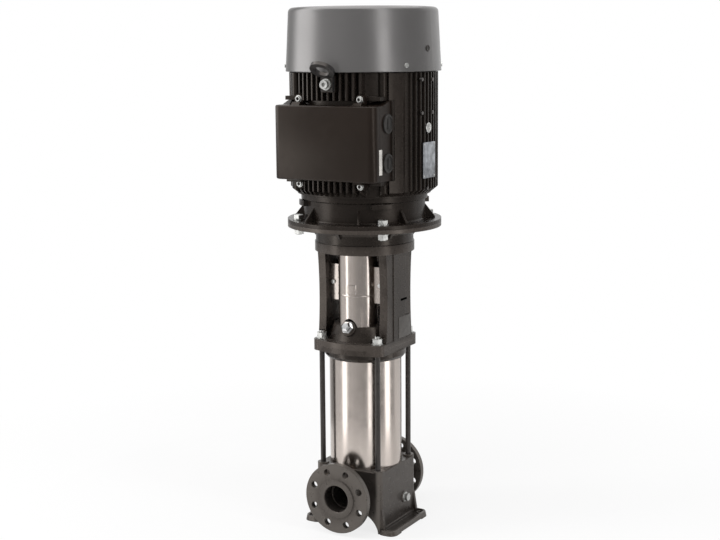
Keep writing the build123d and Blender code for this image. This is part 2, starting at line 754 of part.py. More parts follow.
# Impellers: neck ring, two shrouds, curved blades and a hub
for stage in range(STAGES):
    floor = STACK_BOTTOM + stage * STAGE_PITCH
    lower = floor + IMPELLER_LIFT
    upper = lower + IMPELLER_SHROUD_T + IMPELLER_WIDTH
    with BuildPart() as impeller:
        with BuildSketch(Plane.XY.offset(floor - CHAMBER_ROOF / 2)):
            Circle(IMPELLER_NECK_R)
            Circle(IMPELLER_NECK_R - IMPELLER_NECK_WALL, mode=Mode.SUBTRACT)
        extrude(amount=IMPELLER_LIFT + CHAMBER_ROOF / 2)
        with BuildSketch(Plane.XY.offset(lower)):
            Circle(IMPELLER_R)
            Circle(IMPELLER_NECK_R - IMPELLER_NECK_WALL, mode=Mode.SUBTRACT)
        extrude(amount=IMPELLER_SHROUD_T)
        with BuildSketch(Plane.XY.offset(lower + IMPELLER_SHROUD_T)):
            with PolarLocations(0, IMPELLER_BLADES):
                with BuildLine():
                    ThreePointArc(
                        (IMPELLER_NECK_R, 0),
                        (IMPELLER_NECK_R + BLADE_MID_OUT, -BLADE_MID_LAG),
                        (IMPELLER_R - BLADE_TIP_INSET, -BLADE_TIP_LAG),
                    )
                    offset(amount=BLADE_T / 2)
                make_face()
        extrude(amount=IMPELLER_WIDTH)
        with BuildSketch(Plane.XY.offset(upper)):
            Circle(IMPELLER_R)
            Circle(PUMP_SHAFT_R + SEAT, mode=Mode.SUBTRACT)
        extrude(amount=IMPELLER_SHROUD_T)
        with BuildSketch(Plane.XY.offset(lower + IMPELLER_SHROUD_T)):
            Circle(IMPELLER_HUB_R)
            Circle(PUMP_SHAFT_R + SEAT, mode=Mode.SUBTRACT)
        extrude(amount=IMPELLER_HUB_H)
    impeller.part.label = f"impeller_{stage + 1}"
    export_step(impeller.part, f"parts/impeller_{stage + 1}.step")

HUB_BOTTOM = IMPELLER_LIFT + IMPELLER_SHROUD_T
HUB_TOP = HUB_BOTTOM + IMPELLER_HUB_H
SEAL_ROT_BOTTOM = SEAL_FACE - SEAL_GAP - SEAL_ROT_H
with BuildPart() as shaft_spacers:
    for stage in range(STAGES):
        start = STACK_BOTTOM + stage * STAGE_PITCH + HUB_TOP
        end = start + STAGE_PITCH - IMPELLER_HUB_H if stage < STAGES - 1 else SEAL_ROT_BOTTOM
        with BuildSketch(Plane.XY.offset(start)):
            Circle(SPACER_R)
            Circle(PUMP_SHAFT_R + SEAT, mode=Mode.SUBTRACT)
        extrude(amount=end - start)
shaft_spacers.part.label = "shaft_spacers"
export_step(shaft_spacers.part, "parts/shaft_spacers.step")

with BuildPart() as pump_shaft:
    with BuildSketch(Plane.XY.offset(PUMP_SHAFT_BOTTOM)):
        Circle(PUMP_SHAFT_R)
    extrude(amount=PUMP_SHAFT_TOP - PUMP_SHAFT_BOTTOM)
pump_shaft.part.label = "pump_shaft"
export_step(pump_shaft.part, "parts/pump_shaft.step")


# Outline shared by the pump head's flange and the stool's foot plate
with BuildSketch() as plate_outline:
    RectangleRounded(2 * PLATE_HALF, 2 * PLATE_HALF, PLATE_CORNER_R)
    for side in (1, -1):
        with BuildLine():
            ThreePointArc(
                (-ROD_HALF, side * PLATE_HALF),
                (0, side * (PLATE_HALF + PLATE_BOW)),
                (ROD_HALF, side * PLATE_HALF),
            )
            Line((ROD_HALF, side * PLATE_HALF), (-ROD_HALF, side * PLATE_HALF))
        make_face()

# Raised middle of the head, cut flat beside the stool's columns
with BuildPart() as head_dome:
    with BuildSketch(Plane.XZ):
        with BuildLine():
            Polyline(
                (0, STOOL_BOTTOM - HEAD_FLANGE_T / 2),
                (DOME_BASE_R, STOOL_BOTTOM - HEAD_FLANGE_T / 2),
                (DOME_BASE_R, PLATE_TOP),
                (DOME_TOP_R, DOME_TOP),
                (0, DOME_TOP),
                close=True,
            )
        make_face()
    revolve(axis=Axis.Z)
    with Locations((0, 0, STOOL_BOTTOM)):
        Box(2 * DOME_HALF_X, 3 * DOME_BASE_R, 3 * DOME_H, mode=Mode.INTERSECT)

with BuildPart() as pump_head:
    with BuildSketch(Plane.XY.offset(HEAD_FLANGE_BOTTOM)):
        add(plate_outline.sketch)
    extrude(amount=HEAD_FLANGE_T)
    with BuildSketch(Plane.XZ):
        with BuildLine():
            Polyline(
                (0, HEAD_LIP_BOTTOM),
                (HEAD_LIP_R, HEAD_LIP_BOTTOM),
                (HEAD_RING_R, HEAD_LEDGE),
                (HEAD_RING_R, HEAD_FLANGE_BOTTOM),
                (0, HEAD_FLANGE_BOTTOM),
                close=True,
            )
        make_face()
    revolve(axis=Axis.Z)
    add(head_dome.part)
    with BuildSketch(vent_plane):
        Circle(VENT_BOSS_R)
    extrude(amount=-2 * VENT_BOSS_R)
    # Inside: seat for the sleeve, pressure space and seal bore
    with BuildSketch(Plane.XZ):
        with BuildLine():
            Polyline(
                (0, HEAD_LIP_BOTTOM),
                (SLEEVE_R + SEAT, HEAD_LIP_BOTTOM),
                (SLEEVE_R + SEAT, HEAD_LEDGE),
                (CHAMBER_R, HEAD_LEDGE),
                (CHAMBER_R, STOOL_BOTTOM - HEAD_WALL),
                (DOME_TOP_R - 2 * HEAD_WALL, SEAL_BORE_BOTTOM),
                (SEAL_BORE_R + SEAT, SEAL_BORE_BOTTOM),
                (SEAL_BORE_R + SEAT, DOME_TOP),
                (0, DOME_TOP),
                close=True,
            )
        make_face()
    revolve(axis=Axis.Z, mode=Mode.SUBTRACT)
    with BuildSketch(Plane.XY.offset(HEAD_FLANGE_BOTTOM)):
        with Locations(*rod_points):
            Circle(ROD_R + SEAT)
    extrude(amount=HEAD_FLANGE_T, mode=Mode.SUBTRACT)
    with BuildSketch(vent_plane):
        Circle(VENT_THREAD_R + SEAT)
    extrude(amount=-2 * VENT_BOSS_R - 4, mode=Mode.SUBTRACT)
    with BuildSketch(Plane.XY.offset(DOME_TOP)):
        with PolarLocations(SEAL_SCREW_PCD / 2, 4, start_angle=45):
            Circle(SEAL_SCREW_R + SEAT)
    extrude(amount=-SEAL_SCREW_DEPTH, mode=Mode.SUBTRACT)
pump_head.part.label = "pump_head"
export_step(pump_head.part, "parts/pump_head.step")

with BuildPart() as vent_plug:
    with BuildSketch(vent_plane):
        RegularPolygon(hexagon_r(VENT_HEX_AF), 6)
    extrude(amount=VENT_HEX_H)
    with BuildSketch(vent_plane):
        Circle(VENT_THREAD_R)
    extrude(amount=-VENT_THREAD_DEPTH)
    with BuildSketch(vent_plane.offset(VENT_HEX_H)):
        Circle(VENT_SCREW_R + RUN)
    extrude(amount=-(VENT_HEX_H + VENT_THREAD_DEPTH), mode=Mode.SUBTRACT)
vent_plug.part.label = "vent_plug"
export_step(vent_plug.part, "parts/vent_plug.step")

with BuildPart() as vent_screw:
    with BuildSketch(vent_plane.offset(VENT_HEX_H + SEAL_GAP)):
        RegularPolygon(hexagon_r(VENT_SCREW_AF), 6)
    extrude(amount=VENT_SCREW_H)
    chamfer(vent_screw.faces().sort_by(Axis(vent_plane.origin, vent_plane.z_dir))[-1].edges(), 4)
    with BuildSketch(vent_plane.offset(VENT_HEX_H + SEAL_GAP)):
        Circle(VENT_SCREW_R)
    extrude(amount=-VENT_SCREW_DEPTH)
vent_screw.part.label = "vent_screw"
export_step(vent_screw.part, "parts/vent_screw.step")

# Shaft seal
SEAL_IN_R = PUMP_SHAFT_R + SEAL_SHAFT_GAP
SEAL_POCKET_R = SEAL_BORE_R - SEAL_WALL
SEAL_TOP_FACE = SEAL_FACE + SEAL_STAT_H
with BuildPart() as shaft_seal_housing:
    with BuildSketch(Plane.XZ):
        with BuildLine():
            Polyline(
                (SEAL_IN_R, SEAL_TOP_FACE),
                (SEAL_POCKET_R, SEAL_TOP_FACE),
                (SEAL_POCKET_R, SEAL_BORE_BOTTOM),
                (SEAL_BORE_R, SEAL_BORE_BOTTOM),
                (SEAL_BORE_R, DOME_TOP),
                (SEAL_FLANGE_R, DOME_TOP),
                (SEAL_FLANGE_R, DOME_TOP + SEAL_FLANGE_T),
                (SEAL_IN_R, DOME_TOP + SEAL_FLANGE_T),
                close=True,
            )
        make_face()
    revolve(axis=Axis.Z)
    with BuildSketch(Plane.XY.offset(DOME_TOP)):
        with PolarLocations(SEAL_SCREW_PCD / 2, 4, start_angle=45):
            Circle(SEAL_SCREW_R + SEAT)
    extrude(amount=SEAL_FLANGE_T, mode=Mode.SUBTRACT)
shaft_seal_housing.part.label = "shaft_seal_housing"
export_step(shaft_seal_housing.part, "parts/shaft_seal_housing.step")

with BuildPart() as seal_stationary_ring:
    with BuildSketch(Plane.XY.offset(SEAL_FACE)):
        Circle(SEAL_POCKET_R - SEAT)
        Circle(SEAL_IN_R, mode=Mode.SUBTRACT)
    extrude(amount=SEAL_STAT_H)
seal_stationary_ring.part.label = "seal_stationary_ring"
export_step(seal_stationary_ring.part, "parts/seal_stationary_ring.step")

with BuildPart() as seal_rotating_ring:
    with BuildSketch(Plane.XY.offset(SEAL_ROT_BOTTOM)):
        Circle(SEAL_ROT_R)
        Circle(PUMP_SHAFT_R + SEAT, mode=Mode.SUBTRACT)
    extrude(amount=SEAL_ROT_H)
seal_rotating_ring.part.label = "seal_rotating_ring"
export_step(seal_rotating_ring.part, "parts/seal_rotating_ring.step")

with BuildPart() as seal_screws:
    with BuildSketch(Plane.XY.offset(DOME_TOP + SEAL_FLANGE_T)):
        with PolarLocations(SEAL_SCREW_PCD / 2, 4, start_angle=45):
            Circle(2 * SEAL_SCREW_R - 1)
    extrude(amount=2 * SEAL_SCREW_R)
    with BuildSketch(Plane.XY.offset(DOME_TOP + SEAL_FLANGE_T)):
        with PolarLocations(SEAL_SCREW_PCD / 2, 4, start_angle=45):
            Circle(SEAL_SCREW_R)
    extrude(amount=-(SEAL_FLANGE_T + SEAL_SCREW_DEPTH - 2))
seal_screws.part.label = "seal_screws"
export_step(seal_screws.part, "parts/seal_screws.step")

# Motor stool: foot plate, two waisted columns, ring, neck and motor flange
with BuildPart() as motor_stool:
    with BuildSketch(Plane.XY.offset(STOOL_BOTTOM)):
        add(plate_outline.sketch)
    extrude(amount=STOOL_PLATE_T)
    mid_z = (PLATE_TOP + STOOL_RING_BOTTOM) / 2
    for side in (1, -1):
        with BuildSketch(Plane.YZ.offset(side * COLUMN_X)):
            with BuildLine():
                Line((-COLUMN_HALF_Y, PLATE_TOP - 1), (COLUMN_HALF_Y, PLATE_TOP - 1))
                ThreePointArc(
                    (COLUMN_HALF_Y, PLATE_TOP - 1),
                    (COLUMN_HALF_Y - COLUMN_WAIST, mid_z),
                    (COLUMN_HALF_Y, STOOL_RING_BOTTOM + 1),
                )
                Line((COLUMN_HALF_Y, STOOL_RING_BOTTOM + 1), (-COLUMN_HALF_Y, STOOL_RING_BOTTOM + 1))
                ThreePointArc(
                    (-COLUMN_HALF_Y, STOOL_RING_BOTTOM + 1),
                    (-COLUMN_HALF_Y + COLUMN_WAIST, mid_z),
                    (-COLUMN_HALF_Y, PLATE_TOP - 1),
                )
            make_face()
        extrude(amount=-side * COLUMN_T)
        # Relief beside the middle panel of the outer face
        for wing in (1, -1):
            with BuildSketch(Plane.YZ.offset(side * COLUMN_X)):
                with Locations((wing * (COLUMN_PANEL_HALF_Y + COLUMN_HALF_Y) / 2, mid_z)):
                    Rectangle(COLUMN_HALF_Y - COLUMN_PANEL_HALF_Y, STOOL_RING_BOTTOM - PLATE_TOP)
            extrude(amount=-side * COLUMN_RELIEF, mode=Mode.SUBTRACT)
        # Lugs that carry the guards
        lug_in = GUARD_TAB_REACH - GUARD_LUG_T
        lug_out = COLUMN_X - COLUMN_T
        for wing in (1, -1):
            with BuildSketch(Plane.XZ.offset(wing * GUARD_TAB_Y)):
                with Locations((side * (lug_in + lug_out) / 2, GUARD_TAB_Z)):
                    Rectangle(lug_out - lug_in + 2, GUARD_LUG_H)
            extrude(amount=-wing * GUARD_LUG_T)
    with BuildSketch(Plane.XZ):
        with BuildLine():
            Polyline(
                (STOOL_RING_BORE_R, STOOL_RING_BOTTOM),
                (STOOL_RING_R, STOOL_RING_BOTTOM),
                (STOOL_RING_R, STOOL_RING_TOP),
                (STOOL_NECK_R, STOOL_RING_TOP),
                (STOOL_NECK_R, STOOL_FLANGE_BOTTOM - STOOL_BLEND_R),
                (STOOL_NECK_R + STOOL_BLEND_R / 4, STOOL_FLANGE_BOTTOM - STOOL_BLEND_R / 3),
                (STOOL_NECK_R + STOOL_BLEND_R, STOOL_FLANGE_BOTTOM),
                (STOOL_FLANGE_R, STOOL_FLANGE_BOTTOM),
                (STOOL_FLANGE_R, STOOL_TOP),
                (REGISTER_R + SEAT, STOOL_TOP),
                (REGISTER_R + SEAT, STOOL_TOP - REGISTER_H - REGISTER_GAP),
                (STOOL_NECK_R - STOOL_NECK_WALL, STOOL_TOP - REGISTER_H - REGISTER_GAP),
                (STOOL_NECK_R - STOOL_NECK_WALL, STOOL_RING_TOP - STOOL_NECK_WALL),
                (STOOL_RING_BORE_R, STOOL_RING_TOP - STOOL_NECK_WALL),
                close=True,
            )
        make_face()
    revolve(axis=Axis.Z)
    for k in range(STOOL_RIBS):
        angle = 30 + k * 360 / STOOL_RIBS
        rib_plane = Plane(origin=(0, 0, 0), x_dir=(cos(radians(angle)), sin(radians(angle)), 0),
                          z_dir=(sin(radians(angle)), -cos(radians(angle)), 0))
        with BuildSketch(rib_plane.offset(-STOOL_RIB_T / 2)):
            with BuildLine():
                Polyline(
                    (STOOL_NECK_R - 2, STOOL_FLANGE_BOTTOM + 1),
                    (STOOL_NECK_R + STOOL_RIB_REACH, STOOL_FLANGE_BOTTOM + 1),
                    (STOOL_NECK_R, STOOL_FLANGE_BOTTOM - STOOL_RIB_H),
                    (STOOL_NECK_R - 2, STOOL_FLANGE_BOTTOM - STOOL_RIB_H),
                    close=True,
                )
            make_face()
        extrude(amount=STOOL_RIB_T)
    # Opening over the head's raised middle
    with BuildSketch(Plane.XY.offset(STOOL_BOTTOM)):
        Circle(DOME_BASE_R + 1)
        Rectangle(2 * (DOME_HALF_X + 1), 3 * DOME_BASE_R, mode=Mode.INTERSECT)
    extrude(amount=STOOL_PLATE_T, mode=Mode.SUBTRACT)
    with BuildSketch(Plane.XY.offset(STOOL_BOTTOM)):
        with Locations(*rod_points):
            Circle(ROD_R + SEAT)
    extrude(amount=STOOL_PLATE_T, mode=Mode.SUBTRACT)
    with BuildSketch(Plane.XY.offset(PLATE_TOP)):
        with Locations(*rod_points):
            Circle(WASHER_R + 1)
    extrude(amount=NUT_H + 3 * WASHER_T, mode=Mode.SUBTRACT)
    with BuildSketch(Plane.XY.offset(STOOL_TOP)):
        with Locations(*flange_points):
            Circle(FLANGE_HOLE_R)
    extrude(amount=-STOOL_FLANGE_T, mode=Mode.SUBTRACT)
    for side in (1, -1):
        with BuildSketch(Plane.XZ.offset(side * GUARD_TAB_Y)):
            with Locations(*[(sx * (lug_in + 4), GUARD_TAB_Z) for sx in (1, -1)]):
                Circle(GUARD_SCREW_R + SEAT)
        extrude(amount=-side * GUARD_LUG_T, mode=Mode.SUBTRACT)
motor_stool.part.label = "motor_stool"
export_step(motor_stool.part, "parts/motor_stool.step")

# Coupling guards: bulged sheet with two tabs each
for side, name in ((-1, "coupling_guard_front"), (1, "coupling_guard_rear")):
    with BuildPart() as coupling_guard:
        with BuildSketch(Plane.XY.offset(GUARD_BOTTOM)):
            with Locations((0, side * GUARD_CENTRE_Y)):
                Circle(GUARD_R)
                Circle(GUARD_R - GUARD_SHEET, mode=Mode.SUBTRACT)
            with Locations((0, side * (GUARD_CENTRE_Y + 2 * GUARD_R))):
                Rectangle(4 * GUARD_R, 4 * GUARD_R, mode=Mode.INTERSECT)
        extrude(amount=GUARD_TOP - GUARD_BOTTOM)
        tab_in = sqrt(GUARD_R ** 2 - (GUARD_TAB_Y + GUARD_SHEET - GUARD_CENTRE_Y) ** 2)
        tab_mid = (tab_in + GUARD_TAB_REACH) / 2
        with BuildSketch(Plane.XY.offset(GUARD_TAB_Z - GUARD_TAB_H / 2)):
            with Locations(*[(sx * tab_mid, side * (GUARD_TAB_Y + GUARD_SHEET / 2)) for sx in (1, -1)]):
                Rectangle(GUARD_TAB_REACH - tab_in + 1, GUARD_SHEET)
        extrude(amount=GUARD_TAB_H)
        with BuildSketch(Plane.XZ.offset(-side * (GUARD_TAB_Y + GUARD_SHEET))):
            with Locations(*[(sx * (lug_in + 4), GUARD_TAB_Z) for sx in (1, -1)]):
                Circle(GUARD_SCREW_R + SEAT)
        extrude(amount=side * GUARD_SHEET, mode=Mode.SUBTRACT)
        if side < 0:
            with BuildSketch(vent_plane.offset(-2 * VENT_BOSS_R)):
                Circle(VENT_BOSS_R + GUARD_BOSS_CLEAR)
            extrude(amount=4 * VENT_BOSS_R, mode=Mode.SUBTRACT)
    coupling_guard.part.label = name
    export_step(coupling_guard.part, f"parts/{name}.step")

with BuildPart() as guard_screws:
    for side in (-1, 1):
        with BuildSketch(Plane.XZ.offset(-side * (GUARD_TAB_Y + GUARD_SHEET))):
            with Locations(*[(sx * (lug_in + 4), GUARD_TAB_Z) for sx in (1, -1)]):
                Circle(GUARD_HEAD_R)
        extrude(amount=-side * GUARD_HEAD_H)
        with BuildSketch(Plane.XZ.offset(-side * (GUARD_TAB_Y + GUARD_SHEET))):
            with Locations(*[(sx * (lug_in + 4), GUARD_TAB_Z) for sx in (1, -1)]):
                Circle(GUARD_SCREW_R)
        extrude(amount=side * (GUARD_SHEET + GUARD_LUG_T - 1))
guard_screws.part.label = "guard_screws"
export_step(guard_screws.part, "parts/guard_screws.step")

# Split coupling that clamps both shafts
coupling_screw_z = [
    (COUPLING_TOP + COUPLING_BOTTOM) / 2 + s * COUPLING_SCREW_PITCH / 2 for s in (1, -1)
]
coupling_screws_xz = [(sx * COUPLING_SCREW_X, z) for sx in (1, -1) for z in coupling_screw_z]
for side, name in ((-1, "coupling_half_front"), (1, "coupling_half_rear")):
    with BuildPart() as coupling_half:
        with BuildSketch(Plane.XY.offset(COUPLING_BOTTOM)):
            Circle(COUPLING_R)
            with Locations((0, side * (COUPLING_R + COUPLING_SPLIT))):
                Rectangle(3 * COUPLING_R, 2 * COUPLING_R, mode=Mode.INTERSECT)
        extrude(amount=COUPLING_LENGTH)
        with BuildSketch(Plane.XY.offset(COUPLING_BOTTOM)):
            Circle(PUMP_SHAFT_R + SEAT)
        extrude(amount=COUPLING_LENGTH, mode=Mode.SUBTRACT)
        with BuildSketch(Plane.XY.offset(SHAFT_END - SHAFT_END_GAP / 2)):
            Circle(MOTOR_SHAFT_R + SEAT)
        extrude(amount=COUPLING_LENGTH, mode=Mode.SUBTRACT)
        with BuildSketch(Plane.XZ):
            with Locations(*coupling_screws_xz):
                Circle(COUPLING_SCREW_R + SEAT)
        extrude(amount=COUPLING_R, both=True, mode=Mode.SUBTRACT)
        with BuildSketch(Plane.XZ.offset(-side * COUPLING_SPOT_Y)):
            with Locations(*coupling_screws_xz):
                Circle(COUPLING_SCREW_HEAD_R + 1)
        extrude(amount=-side * COUPLING_R, mode=Mode.SUBTRACT)
    coupling_half.part.label = name
    export_step(coupling_half.part, f"parts/{name}.step")

with BuildPart() as coupling_screws:
    with BuildSketch(Plane.XZ.offset(COUPLING_SPOT_Y)):
        with Locations(*coupling_screws_xz):
            Circle(COUPLING_SCREW_HEAD_R)
    extrude(amount=COUPLING_SCREW_HEAD_H)
    with BuildSketch(Plane.XZ.offset(COUPLING_SPOT_Y)):
        with Locations(*coupling_screws_xz):
            Circle(COUPLING_SCREW_R)
    extrude(amount=-2 * COUPLING_SPOT_Y)
coupling_screws.part.label = "coupling_screws"
export_step(coupling_screws.part, "parts/coupling_screws.step")

# Drive end shield with flange, gussets and bearing hub
FLANGE_TOP = STOOL_TOP + SHIELD_FLANGE_T
with BuildPart() as drive_end_shield:
    with BuildSketch(Plane.XZ):
        with BuildLine():
            Polyline(
                (SHIELD_HOLE_R, FLANGE_TOP),
                (REGISTER_R - REGISTER_W, FLANGE_TOP),
                (REGISTER_R - REGISTER_W, STOOL_TOP - REGISTER_H),
                (REGISTER_R, STOOL_TOP - REGISTER_H),
                (REGISTER_R, STOOL_TOP),
                (STOOL_FLANGE_R, STOOL_TOP),
                (STOOL_FLANGE_R, FLANGE_TOP),
                (SHIELD_NECK_R + 1.5, FLANGE_TOP),
                (SHIELD_NECK_R, FLANGE_TOP + 3),
                (SHIELD_NECK_R, STOOL_TOP + SHIELD_NECK_TOP),
                (SHIELD_RING_R, STOOL_TOP + SHIELD_NECK_TOP + 2),
                (SHIELD_RING_R, SHIELD_TOP),
                (SHIELD_NECK_R - SHIELD_WALL, SHIELD_TOP),
                (SHIELD_NECK_R - SHIELD_WALL, FLANGE_TOP + SHIELD_WALL),
                (BEARING_HUB_R, FLANGE_TOP + SHIELD_WALL),
                (BEARING_HUB_R, BEARING_SEAT + BEARING_W + 2),
                (BEARING_OUT_R + SEAT, BEARING_SEAT + BEARING_W + 2),
                (BEARING_OUT_R + SEAT, BEARING_SEAT),
                (SHIELD_HOLE_R, BEARING_SEAT),
                close=True,
            )
        make_face()
    revolve(axis=Axis.Z)
    # Seat and spigot for the housing
    spigot_r = HOUSING_BORE_R - SEAT
    seat_in = min(SHIELD_NECK_R, spigot_r) - SHIELD_WALL
    seat_out = max(SHIELD_NECK_R, HOUSING_ROOT_R - SEAT)
    with BuildSketch(Plane.XY.offset(SHIELD_TOP - SHIELD_SEAT_T)):
        Circle(seat_out)
        Circle(seat_in, mode=Mode.SUBTRACT)
    extrude(amount=SHIELD_SEAT_T)
    with BuildSketch(Plane.XY.offset(SHIELD_TOP - SHIELD_SEAT_T)):
        Circle(spigot_r)
        Circle(seat_in, mode=Mode.SUBTRACT)
    extrude(amount=SHIELD_SEAT_T + SPIGOT_H)
    # Ledges for the screws that hold the housing
    with BuildSketch(Plane.XY.offset(STOOL_TOP + SHIELD_NECK_TOP - LEDGE_T)):
        for angle in (45, 135):
            Rectangle(3 * SHIELD_NECK_R, LEDGE_W, rotation=angle)
        Circle(SHIELD_NECK_R + LEDGE_OUT, mode=Mode.INTERSECT)
        Circle(SHIELD_NECK_R - 2, mode=Mode.SUBTRACT)
    extrude(amount=LEDGE_T)
    for k in range(GUSSETS):
        quarter = 90 * (k // 2) + 45
        angle = quarter + (GUSSET_SPREAD if k % 2 else -GUSSET_SPREAD)
        gusset_plane = Plane(origin=(0, 0, 0), x_dir=(cos(radians(angle)), sin(radians(angle)), 0),
                             z_dir=(sin(radians(angle)), -cos(radians(angle)), 0))
        with BuildSketch(gusset_plane.offset(-GUSSET_T / 2)):
            with BuildLine():
                Polyline(
                    (SHIELD_NECK_R - 2, FLANGE_TOP - 1),
                    (SHIELD_NECK_R + GUSSET_REACH, FLANGE_TOP - 1),
                    (SHIELD_NECK_R + GUSSET_REACH, FLANGE_TOP + 3),
                    (SHIELD_NECK_R, FLANGE_TOP + GUSSET_H),
                    (SHIELD_NECK_R - 2, FLANGE_TOP + GUSSET_H),
                    close=True,
                )
            make_face()
        extrude(amount=GUSSET_T)
    with BuildSketch(Plane.XY.offset(STOOL_TOP)):
        with Locations(*flange_points):
            Circle(FLANGE_HOLE_R)
    extrude(amount=SHIELD_FLANGE_T, mode=Mode.SUBTRACT)
drive_end_shield.part.label = "drive_end_shield"
export_step(drive_end_shield.part, "parts/drive_end_shield.step")

FLANGE_NUT_TOP = STOOL_FLANGE_BOTTOM - WASHER_T
FLANGE_HEAD_BOTTOM = FLANGE_TOP + WASHER_T
with BuildPart() as flange_bolts:
    with BuildSketch(Plane.XY.offset(FLANGE_HEAD_BOTTOM)):
        with Locations(*flange_points):
            RegularPolygon(hexagon_r(NUT_AF), 6)
    extrude(amount=NUT_H - 3)
    with BuildSketch(Plane.XY.offset(FLANGE_HEAD_BOTTOM)):
        with Locations(*flange_points):
            Circle(FLANGE_BOLT_R)
    extrude(amount=-(FLANGE_HEAD_BOTTOM - FLANGE_NUT_TOP + NUT_H + 2))
flange_bolts.part.label = "flange_bolts"
export_step(flange_bolts.part, "parts/flange_bolts.step")

with BuildPart() as flange_washers:
    for level in (FLANGE_TOP, FLANGE_NUT_TOP):
        with BuildSketch(Plane.XY.offset(level)):
            with Locations(*flange_points):
                Circle(WASHER_R)
                Circle(FLANGE_BOLT_R + SEAT, mode=Mode.SUBTRACT)
        extrude(amount=WASHER_T)
flange_washers.part.label = "flange_washers"
export_step(flange_washers.part, "parts/flange_washers.step")

with BuildPart() as flange_nuts:
    with BuildSketch(Plane.XY.offset(FLANGE_NUT_TOP)):
        with Locations(*flange_points):
            RegularPolygon(hexagon_r(NUT_AF), 6)
            Circle(FLANGE_BOLT_R + SEAT, mode=Mode.SUBTRACT)
    extrude(amount=-NUT_H)
flange_nuts.part.label = "flange_nuts"
export_step(flange_nuts.part, "parts/flange_nuts.step")

EAR_Z = [BOX_TOP + EAR_ABOVE, BOX_BOTTOM - EAR_BELOW]
ear_points = [(sx * EAR_X, z) for sx in (1, -1) for z in EAR_Z]
BOX_CREST = BOX_TOP + BOX_RISE

# Space that the terminal box and its ears take from the fins
with BuildPart() as box_zone:
    with BuildSketch(Plane.XZ.offset(BOX_BACK_Y)):
        with Locations((0, (BOX_BOTTOM + BOX_CREST) / 2)):
            Rectangle(2 * (BOX_HALF_X + ENTRY_RIM_H + 1), BOX_CREST - BOX_BOTTOM + 2 * BOX_CLEAR)
    extrude(amount=2 * FIN_TIP_R)
    with Locations((0, 0, BOX_MID)):
        Cylinder(BOX_SADDLE_R, 2 * BOX_HEIGHT, mode=Mode.SUBTRACT)
    with BuildSketch(Plane.XZ.offset(EAR_SEAT_Y)):
        with Locations(*ear_points):
            Circle(EAR_R + 1)
        with Locations((EAR_X, BOX_MID), (-EAR_X, BOX_MID)):
            Rectangle(2 * (EAR_R + 1), EAR_Z[0] - EAR_Z[1])
    extrude(amount=FIN_TIP_R)

# Motor housing: tube with parallel fins on four sides, pads and a round rib at each corner
with BuildPart() as motor_housing:
    with BuildSketch(Plane.XY.offset(SHIELD_TOP)):
        with GridLocations(FIN_PITCH, 0, FINS, 1):
            Rectangle(FIN_T, 3 * FIN_TIP_R)
        with GridLocations(0, FIN_PITCH, 1, FINS):
            Rectangle(3 * FIN_TIP_R, FIN_T)
        Circle(FIN_TIP_R, mode=Mode.INTERSECT)
        Circle(HOUSING_ROOT_R)
        for sx in (1, -1):
            for sy in (1, -1):
                rib_r = PAD_R - PAD_RIB_R
                rib_angle = radians(PAD_RIB_ANGLE)
                with Locations((sx * rib_r * sin(rib_angle), sy * rib_r * cos(rib_angle))):
                    Circle(PAD_RIB_R)
    extrude(amount=HOUSING_LENGTH)
    with BuildSketch(Plane.XY.offset(SHIELD_TOP)):
        for sx in (1, -1):
            for sy in (1, -1):
                with BuildLine():
                    corners = [(sx * 2 * PAD_R * sin(radians(a)), sy * 2 * PAD_R * cos(radians(a)))
                               for a in (PAD_START, PAD_END)]
                    Polyline((0, 0), *corners, close=True)
                make_face()
        Circle(PAD_R, mode=Mode.INTERSECT)
    extrude(amount=HOUSING_LENGTH)
    # Slanted lower ends of the fins
    with BuildSketch(Plane.XZ):
        with BuildLine():
            Polyline(
                (HOUSING_ROOT_R + FIN_CHAMFER_ROOT, SHIELD_TOP),
                (FIN_TIP_R + 1, SHIELD_TOP),
                (FIN_TIP_R + 1, SHIELD_TOP + FIN_CHAMFER_H),
                close=True,
            )
        make_face()
    revolve(axis=Axis.Z, mode=Mode.SUBTRACT)
    # Bars above and below the terminal box
    for level in (BOX_CREST + BOX_CLEAR, BOX_BOTTOM - BOX_CLEAR - BAR_H):
        with BuildSketch(Plane.XY.offset(level)):
            with Locations((0, -(EAR_SEAT_Y + BAR_BACK_Y) / 2)):
                Rectangle(2 * BAR_HALF_X, EAR_SEAT_Y - BAR_BACK_Y)
        extrude(amount=BAR_H)
    add(box_zone.part, mode=Mode.SUBTRACT)
    # Bosses for the terminal box screws and the lifting lugs
    with BuildSketch(Plane.XZ.offset(EAR_SEAT_Y)):
        with Locations(*ear_points):
            Circle(EAR_R - 1)
    extrude(amount=-(EAR_SEAT_Y - BOX_BACK_Y))
    for side in (1, -1):
        with BuildSketch(Plane.XZ.offset(side * LUG_PAD_Y)):
            with Locations((side * LUG_X, LUG_SCREW_Z)):
                Rectangle(LUG_PAD_W, LUG_PAD_H)
        extrude(amount=-side * (LUG_PAD_Y - HOUSING_BORE_R))
    with BuildSketch(Plane.XY.offset(SHIELD_TOP)):
        Circle(HOUSING_BORE_R)
    extrude(amount=HOUSING_LENGTH, mode=Mode.SUBTRACT)
    with BuildSketch(Plane.XZ.offset(EAR_SEAT_Y)):
        with Locations(*ear_points):
            Circle(BOX_SCREW_R + SEAT)
    extrude(amount=-BOX_SCREW_DEPTH, mode=Mode.SUBTRACT)
    for side in (1, -1):
        with BuildSketch(Plane.XZ.offset(side * LUG_PAD_Y)):
            with Locations((side * LUG_X, LUG_SCREW_Z)):
                Circle(LUG_SCREW_R + SEAT)
        extrude(amount=-side * LUG_SCREW_DEPTH, mode=Mode.SUBTRACT)
motor_housing.part.label = "motor_housing"
export_step(motor_housing.part, "parts/motor_housing.step")

